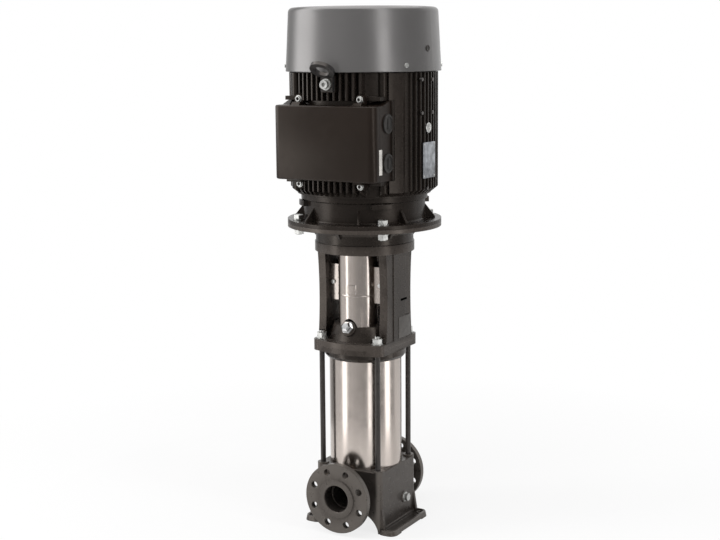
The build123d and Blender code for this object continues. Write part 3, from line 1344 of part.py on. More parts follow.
with BuildPart() as stator_core:
    with BuildSketch(Plane.XY.offset(CORE_BOTTOM)):
        Circle(HOUSING_BORE_R - SEAT)
        Circle(CORE_R, mode=Mode.SUBTRACT)
    extrude(amount=CORE_LENGTH)
stator_core.part.label = "stator_core"
export_step(stator_core.part, "parts/stator_core.step")

with BuildPart() as stator_windings:
    for level in (CORE_BOTTOM - WINDING_H, CORE_TOP):
        with BuildSketch(Plane.XY.offset(level)):
            Circle(WINDING_OUT_R)
            Circle(WINDING_IN_R, mode=Mode.SUBTRACT)
        extrude(amount=WINDING_H)
stator_windings.part.label = "stator_windings"
export_step(stator_windings.part, "parts/stator_windings.step")

with BuildPart() as rotor_core:
    with BuildSketch(Plane.XY.offset(CORE_BOTTOM)):
        Circle(CORE_R - AIR_GAP)
        Circle(CORE_SHAFT_R + SEAT, mode=Mode.SUBTRACT)
    extrude(amount=CORE_LENGTH)
    for level in (CORE_BOTTOM - END_RING_H, CORE_TOP):
        with BuildSketch(Plane.XY.offset(level)):
            Circle(CORE_R - 3)
            Circle(END_RING_IN_R, mode=Mode.SUBTRACT)
        extrude(amount=END_RING_H)
rotor_core.part.label = "rotor_core"
export_step(rotor_core.part, "parts/rotor_core.step")

with BuildPart() as motor_shaft:
    with BuildSketch(Plane.XZ):
        with BuildLine():
            Polyline(
                (0, SHAFT_END),
                (MOTOR_SHAFT_R, SHAFT_END),
                (MOTOR_SHAFT_R, BEARING_SEAT),
                (BEARING_BORE_R, BEARING_SEAT),
                (BEARING_BORE_R, BEARING_SEAT + BEARING_W),
                (CORE_SHAFT_R, BEARING_SEAT + BEARING_W),
                (CORE_SHAFT_R, FAN_BEARING),
                (BEARING_BORE_R, FAN_BEARING),
                (BEARING_BORE_R, FAN_BEARING + BEARING_W),
                (FAN_SHAFT_R, FAN_BEARING + BEARING_W),
                (FAN_SHAFT_R, FAN_BOTTOM + FAN_HUB_H),
                (0, FAN_BOTTOM + FAN_HUB_H),
                close=True,
            )
        make_face()
    revolve(axis=Axis.Z)
motor_shaft.part.label = "motor_shaft"
export_step(motor_shaft.part, "parts/motor_shaft.step")

# Ball bearings
RACE_IN_R = BALL_PITCH_R - BALL_R - RUN
RACE_OUT_R = BALL_PITCH_R + BALL_R + RUN
with BuildPart() as bearing_outer_rings:
    for level in (BEARING_SEAT, FAN_BEARING):
        with BuildSketch(Plane.XY.offset(level)):
            Circle(BEARING_OUT_R)
            Circle(RACE_OUT_R, mode=Mode.SUBTRACT)
        extrude(amount=BEARING_W)
bearing_outer_rings.part.label = "bearing_outer_rings"
export_step(bearing_outer_rings.part, "parts/bearing_outer_rings.step")

with BuildPart() as bearing_inner_rings:
    for level in (BEARING_SEAT, FAN_BEARING):
        with BuildSketch(Plane.XY.offset(level)):
            Circle(RACE_IN_R)
            Circle(BEARING_BORE_R + SEAT, mode=Mode.SUBTRACT)
        extrude(amount=BEARING_W)
bearing_inner_rings.part.label = "bearing_inner_rings"
export_step(bearing_inner_rings.part, "parts/bearing_inner_rings.step")

for level, name in ((BEARING_SEAT, "bearing_balls_drive_end"), (FAN_BEARING, "bearing_balls_fan_end")):
    with BuildPart() as bearing_balls:
        with BuildSketch(Plane.XY.offset(level + BEARING_W / 2 - CAGE_T)):
            Circle(BALL_PITCH_R + CAGE_T)
            Circle(BALL_PITCH_R - CAGE_T, mode=Mode.SUBTRACT)
        extrude(amount=2 * CAGE_T)
        with Locations((0, 0, level + BEARING_W / 2)):
            with PolarLocations(BALL_PITCH_R, BALLS):
                Sphere(BALL_R)
    bearing_balls.part.label = name
    export_step(bearing_balls.part, f"parts/{name}.step")

# Fan end shield: plate, bearing hub and lugs for the fan cover
cover_slope = (COVER_R - COVER_TOP_R) / (COVER_HEIGHT - COVER_EDGE_R)
COVER_SCREW_Z = COVER_BOTTOM + COVER_SCREW_LIFT
COVER_SCREW_SEAT_R = COVER_R - cover_slope * COVER_SCREW_LIFT
screw_planes = []
for k in range(COVER_SCREWS):
    angle = radians(COVER_SCREW_ANGLE + k * 360 / COVER_SCREWS)
    seat = (COVER_SCREW_SEAT_R * cos(angle), COVER_SCREW_SEAT_R * sin(angle), COVER_SCREW_Z)
    across = (-sin(angle), cos(angle), 0)
    screw_planes.append(Plane(origin=seat, x_dir=across, z_dir=(cos(angle), sin(angle), cover_slope)))
LUG_SEAT_R = COVER_SCREW_SEAT_R - COVER_SHEET - 1
with BuildPart() as fan_end_shield:
    with BuildSketch(Plane.XY.offset(HOUSING_TOP)):
        Circle(FAN_SHIELD_R)
        Circle(BEARING_OUT_R + SEAT, mode=Mode.SUBTRACT)
    extrude(amount=FAN_SHIELD_T)
    with BuildSketch(Plane.XY.offset(FAN_BEARING - 2)):
        Circle(BEARING_HUB_R)
        Circle(BEARING_OUT_R + SEAT, mode=Mode.SUBTRACT)
    extrude(amount=BEARING_W + 2)
    with BuildSketch(Plane.XY.offset(FAN_BEARING + BEARING_W)):
        Circle(BEARING_HUB_R)
        Circle(SHIELD_HOLE_R, mode=Mode.SUBTRACT)
    extrude(amount=SHIELD_WALL)
    for plane in screw_planes:
        with BuildSketch(plane.offset(LUG_SEAT_R - COVER_SCREW_SEAT_R)):
            Rectangle(FAN_LUG_W, FAN_LUG_W)
        extrude(amount=-(LUG_SEAT_R - FAN_SHIELD_R + 12))
        with BuildSketch(plane.offset(LUG_SEAT_R - COVER_SCREW_SEAT_R)):
            Circle(COVER_SCREW_R + SEAT)
        extrude(amount=-COVER_SCREW_LENGTH, mode=Mode.SUBTRACT)
fan_end_shield.part.label = "fan_end_shield"
export_step(fan_end_shield.part, "parts/fan_end_shield.step")

# Fan cover: drawn sheet with a tapered wall, round top edge and slotted grille
with BuildPart() as fan_cover:
    with BuildSketch(Plane.XZ):
        with BuildLine():
            l1 = Line((COVER_R, COVER_BOTTOM), (COVER_TOP_R, COVER_TOP - COVER_EDGE_R))
            a1 = ThreePointArc(
                l1 @ 1,
                (COVER_TOP_R - COVER_EDGE_R * (1 - cos(pi / 4)),
                 COVER_TOP - COVER_EDGE_R * (1 - sin(pi / 4))),
                (COVER_TOP_R - COVER_EDGE_R, COVER_TOP),
            )
            l2 = Line(a1 @ 1, (0, COVER_TOP))
            l3 = Line(l2 @ 1, (0, COVER_TOP - COVER_SHEET))
            l4 = Line(l3 @ 1, (COVER_TOP_R - COVER_EDGE_R, COVER_TOP - COVER_SHEET))
            inner_edge_r = COVER_EDGE_R - COVER_SHEET
            a2 = ThreePointArc(
                l4 @ 1,
                (COVER_TOP_R - COVER_EDGE_R + inner_edge_r * cos(pi / 4),
                 COVER_TOP - COVER_EDGE_R + inner_edge_r * sin(pi / 4)),
                (COVER_TOP_R - COVER_SHEET, COVER_TOP - COVER_EDGE_R),
            )
            l5 = Line(a2 @ 1, (COVER_R - COVER_SHEET, COVER_BOTTOM))
            Line(l5 @ 1, l1 @ 0)
        make_face()
    revolve(axis=Axis.Z)
    for ring in range(GRILLE_RINGS):
        ring_r = GRILLE_START_R + ring * GRILLE_STEP
        with BuildSketch(Plane.XY.offset(COVER_TOP)):
            Circle(ring_r + GRILLE_SLOT)
            Circle(ring_r, mode=Mode.SUBTRACT)
            with PolarLocations(ring_r + GRILLE_SLOT / 2, GRILLE_SPOKES, start_angle=45):
                Rectangle(2 * GRILLE_SLOT, GRILLE_SPOKE_W, mode=Mode.SUBTRACT)
        extrude(amount=-COVER_SHEET, mode=Mode.SUBTRACT)
    for plane in screw_planes:
        with BuildSketch(plane.offset(5)):
            Circle(COVER_SCREW_R + SEAT)
        extrude(amount=-12, mode=Mode.SUBTRACT)
fan_cover.part.label = "fan_cover"
export_step(fan_cover.part, "parts/fan_cover.step")

with BuildPart() as fan_cover_screws:
    for plane in screw_planes:
        with BuildSketch(plane):
            Circle(COVER_SCREW_HEAD_R)
        extrude(amount=COVER_SCREW_HEAD_H)
        with BuildSketch(plane):
            Circle(COVER_SCREW_R)
        extrude(amount=-COVER_SCREW_LENGTH)
fan_cover_screws.part.label = "fan_cover_screws"
export_step(fan_cover_screws.part, "parts/fan_cover_screws.step")

with BuildPart() as cooling_fan:
    with BuildSketch(Plane.XY.offset(FAN_BOTTOM)):
        Circle(FAN_HUB_R)
        Circle(FAN_SHAFT_R + SEAT, mode=Mode.SUBTRACT)
    extrude(amount=FAN_HUB_H)
    with BuildSketch(Plane.XY.offset(FAN_BOTTOM)):
        Circle(FAN_R - 25)
        Circle(FAN_SHAFT_R + SEAT, mode=Mode.SUBTRACT)
    extrude(amount=FAN_BLADE_T)
    with BuildSketch(Plane.XY.offset(FAN_BOTTOM)):
        with PolarLocations((FAN_HUB_R + FAN_R) / 2 - 1, FAN_BLADES):
            Rectangle(FAN_R - FAN_HUB_R + 2, FAN_BLADE_T)
    extrude(amount=FAN_BLADE_H)
cooling_fan.part.label = "cooling_fan"
export_step(cooling_fan.part, "parts/cooling_fan.step")

# Terminal box: base that saddles the housing, gasket, cover, board and screws
with BuildPart() as box_cavity:
    with BuildSketch(Plane.XZ.offset(BOX_BACK_Y)):
        with Locations((0, BOX_MID)):
            Rectangle(2 * (BOX_HALF_X - BOX_WALL), BOX_HEIGHT - 2 * BOX_WALL)
    extrude(amount=BOX_SEAM_Y - BOX_BACK_Y)
    with Locations((0, 0, BOX_MID)):
        Cylinder(BOX_SADDLE_R + BOX_WALL, 2 * BOX_HEIGHT, mode=Mode.SUBTRACT)

BASE_FRONT_Y = BOX_SEAM_Y - BOX_GASKET_T
BOARD_BACK_Y = BASE_FRONT_Y - BOARD_PAD_SETBACK
entry_points = [(-ENTRY_Y, BOX_MID + s * ENTRY_PITCH / 2) for s in (1, -1)]
with BuildPart() as terminal_box_base:
    with BuildSketch(Plane.YZ.offset(-BOX_HALF_X)):
        with BuildLine():
            Polyline(
                (-BASE_FRONT_Y, BOX_BOTTOM),
                (-BASE_FRONT_Y, BOX_TOP),
                (-EAR_SEAT_Y, BOX_TOP),
                (-EAR_SEAT_Y + BOX_SLOPE, BOX_CREST),
                (-BOX_BACK_Y, BOX_CREST),
                (-BOX_BACK_Y, BOX_BOTTOM),
                close=True,
            )
        make_face()
    extrude(amount=2 * BOX_HALF_X)
    add(box_cavity.part, mode=Mode.SUBTRACT)
    # Room for the bosses of the housing
    with BuildSketch(Plane.XZ.offset(EAR_SEAT_Y)):
        with Locations(*ear_points):
            Circle(EAR_R - 1 + EAR_CLEAR)
    extrude(amount=-(EAR_SEAT_Y - BOX_BACK_Y), mode=Mode.SUBTRACT)
    with BuildSketch(Plane.XZ.offset(BOARD_BACK_Y)):
        with Locations((0, BOX_MID)):
            Rectangle(BOARD_W - BOARD_PAD_MARGIN, BOARD_H - BOARD_PAD_MARGIN)
    extrude(amount=-BOARD_PAD_MARGIN)
    with Locations((0, 0, BOX_MID)):
        Cylinder(BOX_SADDLE_R + SEAT, 2 * BOX_HEIGHT, mode=Mode.SUBTRACT)
    with BuildSketch(Plane.YZ.offset(BOX_HALF_X)):
        with Locations(*entry_points):
            Circle(ENTRY_R + SEAT)
    extrude(amount=-BOX_WALL, mode=Mode.SUBTRACT)
terminal_box_base.part.label = "terminal_box_base"
export_step(terminal_box_base.part, "parts/terminal_box_base.step")

with BuildPart() as terminal_box_gasket:
    with BuildSketch(Plane.XZ.offset(BASE_FRONT_Y)):
        with Locations((0, BOX_MID)):
            Rectangle(2 * BOX_HALF_X, BOX_HEIGHT)
            Rectangle(2 * (BOX_HALF_X - BOX_WALL), BOX_HEIGHT - 2 * BOX_WALL, mode=Mode.SUBTRACT)
    extrude(amount=BOX_GASKET_T)
terminal_box_gasket.part.label = "terminal_box_gasket"
export_step(terminal_box_gasket.part, "parts/terminal_box_gasket.step")

with BuildPart() as terminal_box_cover:
    with BuildSketch(Plane.XY.offset(BOX_BOTTOM)):
        with Locations((0, -(BOX_FRONT_Y + BOX_SEAM_Y) / 2)):
            Rectangle(2 * BOX_HALF_X, BOX_FRONT_Y - BOX_SEAM_Y)
    extrude(amount=BOX_HEIGHT)
    fillet(terminal_box_cover.edges().filter_by(Axis.Z).group_by(Axis.Y)[0], BOX_CORNER_R)
    front_rim = terminal_box_cover.faces().sort_by(Axis.Z)[-1].edges()
    front_rim += terminal_box_cover.faces().sort_by(Axis.Z)[0].edges()
    fillet(front_rim.filter_by(lambda e: e.center().Y < -BOX_SEAM_Y - 1), BOX_EDGE_R)
    # Ears that reach back over the base to the bosses of the housing
    with BuildSketch(Plane.XZ.offset(EAR_SEAT_Y)):
        with Locations(*ear_points):
            Circle(EAR_R)
    extrude(amount=EAR_T)
    ear_rise = [EAR_ABOVE - BOX_SCREW_HEAD_R - BOX_CLEAR, EAR_BELOW - BOX_SCREW_HEAD_R - BOX_CLEAR]
    for wall_z, rise, out in ((BOX_TOP, ear_rise[0], 1), (BOX_BOTTOM, ear_rise[1], -1)):
        with BuildSketch(Plane.XZ.offset(EAR_SEAT_Y)):
            with Locations(*[(sx * EAR_X, wall_z + out * (rise + EAR_CLEAR) / 2) for sx in (1, -1)]):
                Rectangle(2 * EAR_R, rise - EAR_CLEAR)
        extrude(amount=BOX_SEAM_Y - EAR_SEAT_Y + EAR_REACH)
        with BuildSketch(Plane.XZ.offset(BOX_SEAM_Y)):
            with Locations(*[(sx * EAR_X, wall_z + out * (rise - BOX_WALL / 2) / 2) for sx in (1, -1)]):
                Rectangle(2 * EAR_R, rise + BOX_WALL / 2)
        extrude(amount=EAR_REACH)
    with BuildSketch(Plane.XY.offset(BOX_BOTTOM + BOX_WALL)):
        with Locations((0, -(BOX_FRONT_Y + BOX_SEAM_Y) / 2 + BOX_WALL / 2)):
            RectangleRounded(2 * (BOX_HALF_X - BOX_WALL), BOX_FRONT_Y - BOX_SEAM_Y - BOX_WALL,
                             BOX_EDGE_R)
    extrude(amount=BOX_HEIGHT - 2 * BOX_WALL, mode=Mode.SUBTRACT)
    with BuildSketch(Plane.XZ.offset(BOX_SEAM_Y)):
        with Locations((0, BOX_MID)):
            Rectangle(2 * (BOX_HALF_X - BOX_WALL), BOX_HEIGHT - 2 * BOX_WALL)
    extrude(amount=BOX_EDGE_R, mode=Mode.SUBTRACT)
    with BuildSketch(Plane.XZ.offset(EAR_SEAT_Y)):
        with Locations(*ear_points):
            Circle(BOX_SCREW_R + SEAT)
    extrude(amount=EAR_T, mode=Mode.SUBTRACT)
terminal_box_cover.part.label = "terminal_box_cover"
export_step(terminal_box_cover.part, "parts/terminal_box_cover.step")

with BuildPart() as terminal_box_screws:
    with BuildSketch(Plane.XZ.offset(EAR_SEAT_Y + EAR_T)):
        with Locations(*ear_points):
            Circle(BOX_SCREW_HEAD_R)
    extrude(amount=BOX_SCREW_HEAD_H)
    with BuildSketch(Plane.XZ.offset(EAR_SEAT_Y + EAR_T)):
        with Locations(*ear_points):
            Circle(BOX_SCREW_R)
    extrude(amount=-(EAR_T + BOX_SCREW_DEPTH - 1))
terminal_box_screws.part.label = "terminal_box_screws"
export_step(terminal_box_screws.part, "parts/terminal_box_screws.step")

with BuildPart() as cable_entry_plugs:
    with BuildSketch(Plane.YZ.offset(BOX_HALF_X)):
        with Locations(*entry_points):
            Circle(ENTRY_RIM_R)
    extrude(amount=ENTRY_RIM_H)
    with BuildSketch(Plane.YZ.offset(BOX_HALF_X)):
        with Locations(*entry_points):
            Circle(ENTRY_R)
    extrude(amount=-(BOX_WALL + 3))
    with BuildSketch(Plane.YZ.offset(BOX_HALF_X + ENTRY_RIM_H)):
        with Locations(*entry_points):
            Circle(ENTRY_DISH_R)
            Rectangle(ENTRY_BAR_W, ENTRY_BAR_L, mode=Mode.SUBTRACT)
    extrude(amount=-ENTRY_DISH_DEPTH, mode=Mode.SUBTRACT)
cable_entry_plugs.part.label = "cable_entry_plugs"
export_step(cable_entry_plugs.part, "parts/cable_entry_plugs.step")

stud_points = [
    (kx * STUD_PITCH_X, BOX_MID + sz * STUD_PITCH_Z / 2) for kx in (-1, 0, 1) for sz in (1, -1)
]
with BuildPart() as terminal_board:
    with BuildSketch(Plane.XZ.offset(BOARD_BACK_Y)):
        with Locations((0, BOX_MID)):
            RectangleRounded(BOARD_W, BOARD_H, 5)
    extrude(amount=BOARD_T)
terminal_board.part.label = "terminal_board"
export_step(terminal_board.part, "parts/terminal_board.step")

with BuildPart() as terminal_studs:
    with BuildSketch(Plane.XZ.offset(BOARD_BACK_Y + BOARD_T)):
        with Locations(*stud_points):
            Circle(STUD_R)
    extrude(amount=STUD_LENGTH)
    with BuildSketch(Plane.XZ.offset(BOARD_BACK_Y + BOARD_T)):
        with Locations(*stud_points):
            RegularPolygon(hexagon_r(STUD_NUT_AF), 6)
    extrude(amount=STUD_NUT_H)
terminal_studs.part.label = "terminal_studs"
export_step(terminal_studs.part, "parts/terminal_studs.step")

# Lifting lugs: strap on a pad, bent outwards in front of the fan cover, with an eye
LUG_FACE_Y = LUG_PAD_Y + LUG_T
with BuildPart() as lifting_lugs:
    for side in (1, -1):
        with BuildSketch(Plane.XZ.offset(side * LUG_PAD_Y)):
            with Locations((side * LUG_X, LUG_SCREW_Z + (LUG_STRAP_UP - LUG_STRAP_DOWN) / 2)):
                Rectangle(LUG_PAD_W, LUG_STRAP_UP + LUG_STRAP_DOWN)
        extrude(amount=side * LUG_T)
        eye_plane = Plane(
            origin=(side * LUG_X, -side * LUG_FACE_Y, LUG_SCREW_Z + LUG_STRAP_UP),
            x_dir=(-side, 0, 0),
            z_dir=(0, side * cos(radians(LUG_TILT)), sin(radians(LUG_TILT))),
        )
        with BuildSketch(eye_plane):
            with Locations((0, (LUG_EYE_REACH - LUG_EYE_ROOT) / 2)):
                Rectangle(LUG_PAD_W, LUG_EYE_REACH + LUG_EYE_ROOT)
            with Locations((0, LUG_EYE_REACH)):
                Circle(LUG_EYE_OUT_R)
            with Locations((0, -LUG_EYE_ROOT - LUG_EYE_OUT_R)):
                Rectangle(4 * LUG_EYE_OUT_R, 2 * LUG_EYE_OUT_R, mode=Mode.SUBTRACT)
            with Locations((0, LUG_EYE_REACH)):
                Circle(LUG_EYE_IN_R, mode=Mode.SUBTRACT)
        extrude(amount=LUG_T)
        with BuildSketch(Plane.XZ.offset(side * LUG_PAD_Y)):
            with Locations((side * LUG_X, LUG_SCREW_Z)):
                Circle(LUG_SCREW_R + SEAT)
        extrude(amount=side * LUG_T, mode=Mode.SUBTRACT)
lifting_lugs.part.label = "lifting_lugs"
export_step(lifting_lugs.part, "parts/lifting_lugs.step")

with BuildPart() as lifting_lug_screws:
    for side in (1, -1):
        with BuildSketch(Plane.XZ.offset(side * LUG_FACE_Y)):
            with Locations((side * LUG_X, LUG_SCREW_Z)):
                Circle(LUG_COLLAR_R)
        extrude(amount=side * LUG_COLLAR_H)
        with BuildSketch(Plane.XZ.offset(side * LUG_FACE_Y)):
            with Locations((side * LUG_X, LUG_SCREW_Z)):
                Circle(LUG_SCREW_HEAD_R)
        extrude(amount=side * (LUG_COLLAR_H + LUG_SCREW_HEAD_H))
        with BuildSketch(Plane.XZ.offset(side * (LUG_FACE_Y + LUG_COLLAR_H + LUG_SCREW_HEAD_H))):
            with Locations((side * LUG_X, LUG_SCREW_Z)):
                RegularPolygon(hexagon_r(LUG_SOCKET_AF), 6)
        extrude(amount=-side * LUG_SOCKET_DEPTH, mode=Mode.SUBTRACT)
        with BuildSketch(Plane.XZ.offset(side * LUG_FACE_Y)):
            with Locations((side * LUG_X, LUG_SCREW_Z)):
                Circle(LUG_SCREW_R)
        extrude(amount=-side * (LUG_T + LUG_SCREW_DEPTH - 1))
lifting_lug_screws.part.label = "lifting_lug_screws"
export_step(lifting_lug_screws.part, "parts/lifting_lug_screws.step")
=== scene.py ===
import json
from math import atan2, cos, pi, radians, sin

import bmesh
import bpy
from mathutils import Matrix, Vector


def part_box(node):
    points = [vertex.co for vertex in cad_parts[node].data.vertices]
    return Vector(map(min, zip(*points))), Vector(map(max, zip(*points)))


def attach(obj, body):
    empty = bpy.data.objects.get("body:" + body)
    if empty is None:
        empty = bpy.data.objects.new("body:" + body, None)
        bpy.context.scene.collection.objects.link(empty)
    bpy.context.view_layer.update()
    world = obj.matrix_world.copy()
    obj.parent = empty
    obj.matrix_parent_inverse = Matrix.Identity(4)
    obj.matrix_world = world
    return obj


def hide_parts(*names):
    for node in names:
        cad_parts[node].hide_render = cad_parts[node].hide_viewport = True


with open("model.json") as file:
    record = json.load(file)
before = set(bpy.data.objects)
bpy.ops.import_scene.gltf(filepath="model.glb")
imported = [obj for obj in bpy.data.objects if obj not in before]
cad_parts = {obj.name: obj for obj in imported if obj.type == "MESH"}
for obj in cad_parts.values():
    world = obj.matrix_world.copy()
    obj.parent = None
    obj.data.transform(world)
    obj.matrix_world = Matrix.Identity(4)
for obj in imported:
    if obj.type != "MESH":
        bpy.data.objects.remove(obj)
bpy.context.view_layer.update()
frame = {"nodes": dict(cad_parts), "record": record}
nodes = frame["nodes"]
MM = 0.001

# Camera at the photograph's viewing angle, with its small roll
CAMERA_PLACE = Vector((1.7063, -2.9672, 1.2630))
CAMERA_FORWARD = Vector((-0.49463, 0.85274, -0.16787))
CAMERA_RIGHT = Vector((0.86501, 0.50175, 0.0))
CAMERA_ROLL = radians(0.428)
CAMERA_LENS = 66.07
SENSOR = 36.0


def make_camera():
    data = bpy.data.cameras.new("camera")
    data.lens = CAMERA_LENS
    data.sensor_width = SENSOR
    forward = CAMERA_FORWARD.normalized()
    right = CAMERA_RIGHT.normalized()
    up = right.cross(forward)
    tilted_right = right * cos(CAMERA_ROLL) - up * sin(CAMERA_ROLL)
    tilted_up = tilted_right.cross(forward)
    matrix = Matrix((tilted_right, tilted_up, -forward)).transposed().to_4x4()
    matrix.translation = CAMERA_PLACE
    camera = bpy.data.objects.new("camera", data)
    camera.matrix_world = matrix
    bpy.context.scene.collection.objects.link(camera)
    bpy.context.scene.camera = camera


# Materials: each has a colour that varies a little, a roughness that varies, and a bump
WARM_GLOSS = (1.0, 0.88, 0.78)
COAT_ROUGHNESS = 0.08
NOISE_ROUGHNESS = 0.55
NOISE_LOW = 0.3
NOISE_HIGH = 0.7
EDGE_LIGHT_START = 0.51
EDGE_LIGHT_END = 0.6
EDGE_SAMPLES = 6


class Look:
    """A node material that is built up step by step."""

    def __init__(self, name, color, metallic, roughness, coat=0.0):
        self.material = bpy.data.materials.new(name)
        self.material.use_nodes = True
        self.tree = self.material.node_tree
        self.nodes = self.tree.nodes
        self.shader = self.nodes["Principled BSDF"]
        self.shader.inputs["Base Color"].default_value = (*color, 1.0)
        self.shader.inputs["Metallic"].default_value = metallic
        self.shader.inputs["Roughness"].default_value = roughness
        self.shader.inputs["Coat Weight"].default_value = coat
        self.shader.inputs["Coat Roughness"].default_value = COAT_ROUGHNESS
        if not metallic:
            self.shader.inputs["Specular Tint"].default_value = (*WARM_GLOSS, 1.0)
        self.place = self.nodes.new("ShaderNodeTexCoord").outputs["Object"]
        self.color = color
        self.bump_out = None

    def link(self, a, b):
        self.tree.links.new(a, b)

    def noise(self, scale, detail=4.0, stretch=(1, 1, 1)):
        mapping = self.nodes.new("ShaderNodeMapping")
        mapping.inputs["Scale"].default_value = stretch
        self.link(self.place, mapping.inputs["Vector"])
        texture = self.nodes.new("ShaderNodeTexNoise")
        texture.inputs["Scale"].default_value = scale
        texture.inputs["Detail"].default_value = detail
        texture.inputs["Roughness"].default_value = NOISE_ROUGHNESS
        self.link(mapping.outputs["Vector"], texture.inputs["Vector"])
        return texture.outputs["Fac"]

    def spread(self, value, low, high, start=NOISE_LOW, end=NOISE_HIGH):
        """Value from low to high while the input goes from start to end."""
        span = self.nodes.new("ShaderNodeMapRange")
        span.inputs["From Min"].default_value = start
        span.inputs["From Max"].default_value = end
        span.inputs["To Min"].default_value = low
        span.inputs["To Max"].default_value = high
        self.link(value, span.inputs["Value"])
        return span.outputs["Result"]

    def tint(self, value, low, high):
        """Colour between low and high times the base colour, by value."""
        ramp = self.nodes.new("ShaderNodeValToRGB")
        ramp.color_ramp.elements[0].position = NOISE_LOW
        ramp.color_ramp.elements[0].color = (*[c * low for c in self.color], 1.0)
        ramp.color_ramp.elements[1].position = NOISE_HIGH
        ramp.color_ramp.elements[1].color = (*[min(1.0, c * high) for c in self.color], 1.0)
        self.link(value, ramp.inputs["Fac"])
        self.link(ramp.outputs["Color"], self.shader.inputs["Base Color"])

    def edge_wear_and_highlight(self, color, amount):
        """Lighter colour where edges stand out: partly worn paint, partly a painted highlight along the
        edges. Call after tint.
        """
        geometry = self.nodes.new("ShaderNodeNewGeometry")
        edge = self.spread(geometry.outputs["Pointiness"], 0.0, amount, EDGE_LIGHT_START, EDGE_LIGHT_END)
        mix = self.nodes.new("ShaderNodeMix")
        mix.data_type = "RGBA"
        mix.inputs["B"].default_value = (*color, 1.0)
        source = self.shader.inputs["Base Color"]
        self.link(source.links[0].from_socket, mix.inputs["A"])
        self.link(edge, mix.inputs["Factor"])
        self.link(mix.outputs["Result"], source)

    def rough(self, value, low, high):
        self.link(self.spread(value, low, high), self.shader.inputs["Roughness"])

    def round_edges(self, radius):
        """Soft normals at the edges, as a cast, pressed or painted edge has. Call before bump."""
        node = self.nodes.new("ShaderNodeBevel")
        node.samples = EDGE_SAMPLES
        node.inputs["Radius"].default_value = radius
        self.bump_out = node.outputs["Normal"]
        self.link(self.bump_out, self.shader.inputs["Normal"])

    def bump(self, value, strength, distance):
        """Bump on top of the normals so far."""
        node = self.nodes.new("ShaderNodeBump")
        node.inputs["Strength"].default_value = strength
        node.inputs["Distance"].default_value = distance
        self.link(value, node.inputs["Height"])
        if self.bump_out:
            self.link(self.bump_out, node.inputs["Normal"])
        self.bump_out = node.outputs["Normal"]
        self.link(self.bump_out, self.shader.inputs["Normal"])


def gloss_paint(name="black_gloss_paint", gloss=0.45, edge_lightening=0.4):
    look = Look(name, (0.0115, 0.0088, 0.0074), 0.0, 0.26)
    look.shader.inputs["Specular IOR Level"].default_value = gloss
    look.round_edges(0.0022)
    look.tint(look.noise(7.0, 2.0), 0.85, 1.2)
    # Lighter colour at the edges: partly worn paint, partly a painted highlight
    look.edge_wear_and_highlight((0.1, 0.085, 0.075), edge_lightening)
    look.rough(look.noise(45.0), 0.21, 0.33)
    look.bump(look.noise(800.0, 2.0), 0.08, 0.0005)
    look.bump(look.noise(70.0, 2.0), 0.06, 0.001)
    return look.material


def box_paint():
    look = Look("black_smooth_paint", (0.0105, 0.0072, 0.0056), 0.0, 0.32)
    look.shader.inputs["Specular IOR Level"].default_value = 0.26
    look.round_edges(0.003)
    look.tint(look.noise(9.0, 2.0), 0.9, 1.12)
    look.rough(look.noise(50.0), 0.29, 0.36)
    look.bump(look.noise(1200.0, 2.0), 0.05, 0.0003)
    return look.material


def casting_paint():
    look = Look("black_cast_iron", (0.0205, 0.0176, 0.0158), 0.0, 0.32)
    look.shader.inputs["Specular IOR Level"].default_value = 0.7
    look.round_edges(0.003)
    look.tint(look.noise(22.0), 0.8, 1.3)
    # Lighter colour at the edges: partly worn paint, partly a painted highlight
    look.edge_wear_and_highlight((0.12, 0.11, 0.1), 0.45)
    look.rough(look.noise(60.0), 0.25, 0.4)
    look.bump(look.noise(950.0, 3.0), 0.25, 0.0006)
    look.bump(look.noise(140.0, 3.0), 0.12, 0.001)
    return look.material


def cover_paint():
    look = Look("grey_metallic_paint", (0.165, 0.16, 0.158), 0.65, 0.31)
    look.round_edges(0.004)
    look.tint(look.noise(2500.0, 2.0), 0.85, 1.2)
    look.rough(look.noise(12.0), 0.28, 0.34)
    look.bump(look.noise(1500.0, 2.0), 0.05, 0.0003)
    return look.material


def polished_steel(name="polished_steel", color=(0.6, 0.535, 0.49), roughness=0.2):
    look = Look(name, color, 1.0, roughness)
    look.round_edges(0.0008)
    streaks = look.noise(60.0, 2.0, stretch=(1.0, 1.0, 0.02))
    look.tint(streaks, 0.95, 1.04)
    look.rough(look.noise(35.0), roughness - 0.03, roughness + 0.05)
    look.bump(look.noise(900.0, 2.0, stretch=(1.0, 1.0, 0.05)), 0.02, 0.0002)
    return look.material


def stage_steel():
    look = Look("pressed_steel", (0.5, 0.5, 0.5), 1.0, 0.33)
    look.tint(look.noise(25.0), 0.85, 1.1)
    look.rough(look.noise(80.0), 0.28, 0.42)
    look.bump(look.noise(300.0, 2.0), 0.06, 0.0004)
    return look.material


def zinc_steel():
    look = Look("zinc_plated_steel", (0.62, 0.62, 0.6), 1.0, 0.3)
    look.round_edges(0.001)
    look.tint(look.noise(70.0), 0.75, 1.15)
    look.rough(look.noise(150.0), 0.28, 0.48)
    look.bump(look.noise(700.0, 2.0), 0.1, 0.0004)
    return look.material


def black_steel():
    look = Look("black_rod_paint", (0.017, 0.0165, 0.017), 0.0, 0.32, coat=0.1)
    look.tint(look.noise(40.0), 0.7, 1.4)
    look.rough(look.noise(60.0), 0.26, 0.42)
    look.bump(look.noise(500.0, 2.0), 0.12, 0.0005)
    return look.material


def ground_steel():
    look = Look("ground_shaft_steel", (0.55, 0.55, 0.55), 1.0, 0.25)
    rings = look.noise(400.0, 2.0, stretch=(0.03, 0.03, 1.0))
    look.tint(rings, 0.88, 1.08)
    look.rough(rings, 0.2, 0.34)
    look.bump(rings, 0.06, 0.0002)
    return look.material


